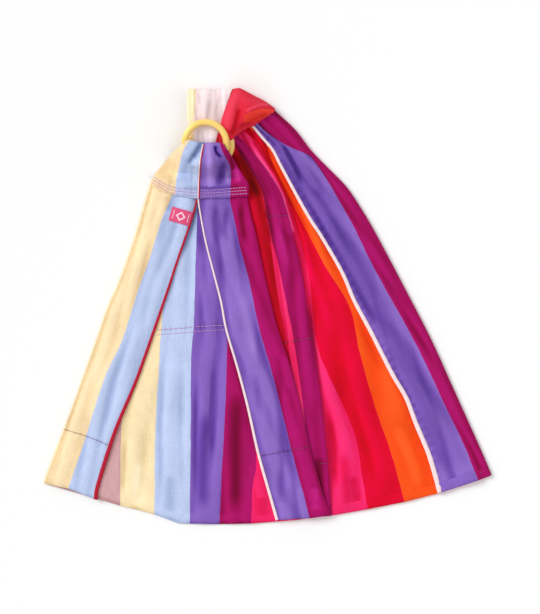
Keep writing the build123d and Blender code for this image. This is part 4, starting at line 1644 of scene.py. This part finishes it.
@dataclass
class ThreadedBand:
    """The gathered cloth from the shoulder fold down through the front ring."""

    shop: Workshop
    steps: int = 90
    column: float = 1.3
    pleat: float = 1.5  # height of the pleats
    centre: float = -84.0  # the band's middle and half its width, from where its edges droop
    half: float = 33.0

    def profile(self) -> Points:
        """Places along Y and heights, from under the fold, over it and down."""
        return [(258, 5.0), (285, 4.2), (306, 3.6), (317, 3.8), (323, 7.5), (325.4, 14.0), (323.5, 21.5),
                (316, 26.2), (304, 27.3), (290, 26.0), (276, 24.6), (262, 24.9), (250, 24.2), (240, 20.5),
                (229, 15.0)]

    def shading(self) -> list[Crease]:
        """Lines of painted shade on the band's dyes, where shade falls between its pleats."""
        return [
            Crease([(-88, 312), (-89, 290), (-93, 274)], 3.0, 0.5),
            Crease([(-104, 322), (-101, 300)], 2.2, 0.4),
            Crease([(-70, 318), (-78, 292), (-82, 276)], 2.4, 0.35),
            Crease([(-97, 262), (-96, 246)], 2.0, 0.5),
            Crease([(-74, 262), (-76, 246)], 2.0, 0.5)]

    def build(self) -> bpy.types.Object:
        """Make the band: a gathered strip that comes over the fold and down through the ring.

        Returns:
            The cloth.
        """
        line = smooth_path(self.profile(), self.steps)
        y, z = line[:, :1], line[:, 1:]
        top = ease((z - 8) / 8)
        v = (np.arange(self.steps) * 1.9 * MM)[:, None]
        patches = []
        for strip, (left, right, u0, u1, side) in enumerate(self.strips()):
            count = max(6, int((right[0] - left[0]) / self.column))
            s = np.linspace(0, 1, count)[None, :]
            lo = np.interp(y, left[2], left[1])
            hi = np.interp(y, right[2], right[1])
            x = lo + (hi - lo) * s
            pleat = 0.45 * np.sin(x / 1.9 + 1.2 * np.sin(x / 7 + y / 31)) * np.sin(x / 9 + y / 60) \
                + 0.6 * np.sin(x / 5.2 + 0.8 * np.sin(y / 22))
            rim = np.clip(np.abs((x - self.centre) / self.half) - 0.72, 0, 0.5) ** 1.5
            xyz = np.stack(np.broadcast_arrays(x, y, z + self.pleat * pleat * top - top * 20.0 * rim), axis=2)
            uv = np.stack(np.broadcast_arrays(u0 + (u1 - u0) * s, v), axis=2)
            # painted shade in the pleats' valleys and painted highlight on their crests; painted light where
            # the band lies in the ring's shade below y 268; the yellow strip and the whole band made paler
            band_shade = np.clip(-0.45 * pleat * top, -0.1, 0.6) - 0.35 * (y < 268) * top \
                - 0.25 * (strip == 0) - 0.05
            patches.append(Patch(xyz, uv.copy(), np.full(x.shape, float(side)), band_shade))
        obj = self.shop.cloth("threaded_band_cloth", patches, "threaded_band_front", "threaded_band_turn",
                              "threaded_band_rear", shade=self.shading())
        return obj

    @staticmethod
    def strips() -> list[tuple]:
        """The band's strips, left to right.

        Returns:
            For each: its left and right edges as (x at the fold, xs, ys), the places across the cloth that
            they have, and 1 where the reverse shows.
        """
        ys = [228, 245, 265, 275, 285, 300, 328]
        edge = (-117, [-112, -114, -116, -119, -120, -120, -119], ys)
        yellow = (-107, [-108, -110, -111, -112, -110, -109, -108], ys)
        pink = (-52, [-78, -78, -72, -68.5, -66, -61, -51.5], ys)
        red = (-40, [-68, -65, -62, -52, -46, -42, -39], ys)
        return [(edge, yellow, 0.085, 0.100, 0), (yellow, pink, 0.100, 0.1499, 1), (pink, red, 0.405, 0.435,
                                                                                    1)]


@dataclass
class ShoulderFlap:
    """The red and orange cloth that folds over at the shoulder and feeds the tail."""

    shop: Workshop
    rows: int = 40
    cols: int = 48
    red: float = 0.428  # places across the cloth that show these two stripes
    orange: float = 0.470

    def stations(self) -> list[tuple[Points, list[float]]]:
        """Plan points and heights down each of the flap's lines."""
        return [
            ([(-51, 323), (-60, 303), (-67, 284), (-69, 272), (-61, 257)], [27, 30, 30.5, 30, 26]),
            ([(-47, 323.5), (-50, 305), (-52, 285), (-55, 268), (-57, 253)], [27, 30.8, 32, 31, 26.5]),
            ([(-42, 323.5), (-42, 308), (-43, 288), (-48, 270), (-53, 255)], [27, 29.5, 29, 28, 25]),
            ([(-32, 318.5), (-31, 305), (-31, 291), (-36, 278), (-43, 264)], [26, 31, 33, 30, 24]),
            ([(-20, 312), (-19, 303), (-20, 293), (-25, 282), (-31, 271)], [23, 28, 30, 27, 20]),
            ([(-6, 305), (-5, 299), (-6, 293), (-11, 286), (-18, 276)], [18, 22, 23, 21, 15]),
            ([(10.5, 293.5), (10, 292), (8.5, 290), (5, 288.5), (2, 286)], [11, 13.5, 14, 13, 9])]

    def shading(self) -> list[Crease]:
        """Lines of painted shade (above 0) and painted highlight (below 0) on the flap's dyes."""
        return [
            Crease([(-43, 296), (-44, 284), (-49, 268), (-56, 256)], 3.6, 0.6, 0.1),
            Crease([(-48, 316), (-55, 300), (-60, 286), (-62, 274)], 10, -0.45, 0.0),
            Crease([(-38, 312), (-22, 306), (-10, 302)], 8, -0.25, 0.0),
            Crease([(-34, 290), (-22, 297), (-8, 302), (4, 300)], 2.6, -0.55, 0.15),
            Crease([(-44, 268), (-30, 275), (-14, 283), (0, 289)], 2.6, 0.4, 0.1)]

    def build(self) -> bpy.types.Object:
        """Make the flap with its rolled lower lip.

        Returns:
            The cloth.
        """
        lines = np.stack([smooth_path([(x, y, z) for (x, y), z in zip(plan, heights)], self.rows)
                          for plan, heights in self.stations()], axis=1)
        top = self.rolled(np.stack([smooth_path(line, self.cols) for line in lines]))
        s = np.linspace(0, 1, self.cols)[None, :]
        r = np.concatenate([np.zeros(6), np.linspace(0, 1, self.rows), np.ones(6)])[:, None]
        upper = 0.52 - 0.80 * (s - 0.5)
        lower = np.minimum(0.86 + 0.6 * (s - 0.5), 0.97)
        u = np.where((r > upper) & (r < lower) & (s > 0.43), self.orange, self.red)
        patch = Patch(top, np.stack(np.broadcast_arrays(u, r * 0.06), axis=2), np.ones(u.shape))
        obj = self.shop.cloth("shoulder_cloth", [patch], "shoulder_fold", shade=self.shading())
        return obj

    @staticmethod
    def rolled(grid: np.ndarray, steps: int = 6) -> np.ndarray:
        """The grid with its first and last rows rolled down towards the floor.

        Args:
            grid: the flap's points, rows down the cloth.
            steps: rows in each roll.

        Returns:
            The longer grid.
        """
        def outwards(edge: np.ndarray, inner: np.ndarray) -> np.ndarray:
            """Direction that each point of an edge faces, away from the cloth."""
            ahead = edge[:, :2] - inner[:, :2]
            return ahead / (np.linalg.norm(ahead, axis=1)[:, None] + 1e-6)

        first, last = grid[0], grid[-1]
        starts, ends = [], []
        for k in range(steps, 0, -1):
            t = k / steps
            row = first.copy()
            row[:, :2] += outwards(first, grid[3]) * 3.0 * np.sin(np.pi * t)
            row[:, 2] = first[:, 2] * (1 - t) + 3.0 * t
            starts.append(row)
        radius = np.clip((last[:, 2] - 5) / 2, 1.0, 4.5)
        for k in range(1, steps + 1):
            angle = np.pi * 0.9 * k / steps
            row = last.copy()
            row[:, :2] += outwards(last, grid[-4]) * (radius * np.sin(angle))[:, None]
            row[:, 2] -= radius * (1 - np.cos(angle))
            ends.append(row)
        return np.stack([*starts, *grid, *ends])


@dataclass
class Label:
    """The small woven label sewn beside the red edge."""

    shop: Workshop
    centre: tuple[float, float] = (-130.0, 135.0)
    size: tuple[float, float] = (32.0, 21.5)
    lean: float = -16.0
    thickness: float = 0.6
    margin: float = 1.3

    def on_panel(self, x: np.ndarray, y: np.ndarray, lift: float) -> np.ndarray:
        """Points of the label's own plane, turned, moved and laid on the panel.

        Args:
            x: places across the label, in millimetres from its centre.
            y: places up the label.
            lift: height above the panel.

        Returns:
            Points with heights.
        """
        lean = math.radians(self.lean)
        xy = np.stack([self.centre[0] + x * math.cos(lean) - y * math.sin(lean),
                       self.centre[1] + x * math.sin(lean) + y * math.cos(lean)], axis=-1)
        z = self.shop.ground.support(xy, 1) + lift
        return np.concatenate([xy, z[..., None]], axis=-1)

    def build(self) -> bpy.types.Object:
        """Make the label and the stitches round it.

        Returns:
            The label.
        """
        shop = self.shop
        across, up = np.meshgrid(np.linspace(-0.5, 0.5, 22), np.linspace(0.5, -0.5, 16))
        xyz = self.on_panel(across * self.size[0], up * self.size[1], 0.45)
        patch = Patch(xyz, np.stack([across + 0.5, up + 0.5], axis=2), np.ones(across.shape))
        obj = cloth_object("woven_label_cloth", [patch], self.thickness, shop.finishes["label_cloth"])
        shop.settle(obj, "label_cloth", "woven_label")
        w, h = self.size[0] / 2 - self.margin, self.size[1] / 2 - self.margin
        corners = [(-w, h), (w, h), (w, -h), (-w, -h), (-w, h)]
        t = np.linspace(0, 1, 16)
        rim = [self.on_panel(ax + (bx - ax) * t, ay + (by - ay) * t, 0.8)
               for (ax, ay), (bx, by) in zip(corners, corners[1:])]
        fine = Stitching(pitch=2.6, length=1.9, width=0.6, seed=5, tree=shop.stitching.tree)
        sewn = fine.rows("label_stitches", rim, shop.finishes["label_thread"])
        shop.settle(sewn, "label_thread", "label_stitching")
        return obj


@dataclass
class Studio:
    """Camera, pale floor and soft light."""

    height: float = 6.0
    centre: tuple[float, float] = (0.00375, -0.00075)
    shown: float = 0.921
    floor_size: float = 6.0  # half its width
    floor_z: float = -0.0004
    floor_grey: float = 0.94
    sky: float = 0.68
    sun: float = 1.75
    sun_spread: float = 28.0  # in degrees
    fill: float = 9.0
    fill_size: float = 2.4

    def camera(self) -> None:
        """Look straight down at the whole sling."""
        data = bpy.data.cameras.new("camera")
        data.lens = 36.0 * self.height / self.shown
        data.clip_end = 30
        obj = placed("camera", data)
        obj.location = (*self.centre, self.height)
        bpy.context.scene.camera = obj

    @staticmethod
    def aimed(lamp: bpy.types.Light, place: tuple[float, float, float]) -> None:
        """Hang a lamp at a place, aimed at the sling.

        Args:
            lamp: the lamp.
            place: where it hangs.
        """
        obj = placed(lamp.name, lamp)
        obj.location = place
        obj.rotation_euler = (-Vector(place)).to_track_quat("-Z", "Y").to_euler()

    def floor_and_light(self) -> None:
        """A wide pale floor, an even sky, a large soft sun from the upper left and a weak fill."""
        mesh = bpy.data.meshes.new("floor")
        half, z = self.floor_size, self.floor_z
        mesh.from_pydata([(-half, -half, z), (half, -half, z), (half, half, z), (-half, half, z)], [],
                         [(0, 1, 2, 3)])
        floor = placed("floor", mesh)
        material, bench, shader = new_material("floor")
        place = bench.wire("ShaderNodeTexCoord", out="Object")
        grain = bench.wire("ShaderNodeTexNoise", inputs={"Vector": place, "Scale": 3.0})
        bench.feed(shader, {"Base Color": (*[self.floor_grey] * 3, 1), "Roughness": 0.9 + grain * 0.05,
                            "Specular IOR Level": 0.0})
        mesh.materials.append(material)
        world = bpy.data.worlds.new("sky")
        bpy.context.scene.world = world
        world.use_nodes = True
        background = world.node_tree.nodes["Background"]
        background.inputs[0].default_value = (1, 1, 1, 1)
        background.inputs[1].default_value = self.sky
        sun = bpy.data.lights.new("window", "SUN")
        sun.energy, sun.angle = self.sun, math.radians(self.sun_spread)
        self.aimed(sun, (-1.9, 1.1, 1.55))
        fill = bpy.data.lights.new("fill", "AREA")
        fill.energy, fill.size = self.fill, self.fill_size
        self.aimed(fill, (0.8, -0.6, 3.2))


def main() -> None:
    """Build the sling and its studio."""
    logging.basicConfig(level=logging.INFO, format="%(name)s: %(message)s")
    studio = Studio()
    studio.camera()
    bpy.context.scene.view_settings.view_transform = "Standard"
    shop = Workshop()
    Tail(shop).build()
    BodyReturn(shop).build()
    FrontPanel(shop).build()
    Label(shop).build()
    RingLoop(shop).build()
    ThreadedBand(shop).build()
    ShoulderFlap(shop).build()
    for name in ("front_ring", "rear_ring"):
        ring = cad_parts[name]
        ring.data.materials.clear()
        ring.data.materials.append(shop.finishes["ring_enamel"])
    studio.floor_and_light()


if __name__ == "__main__":
    main()
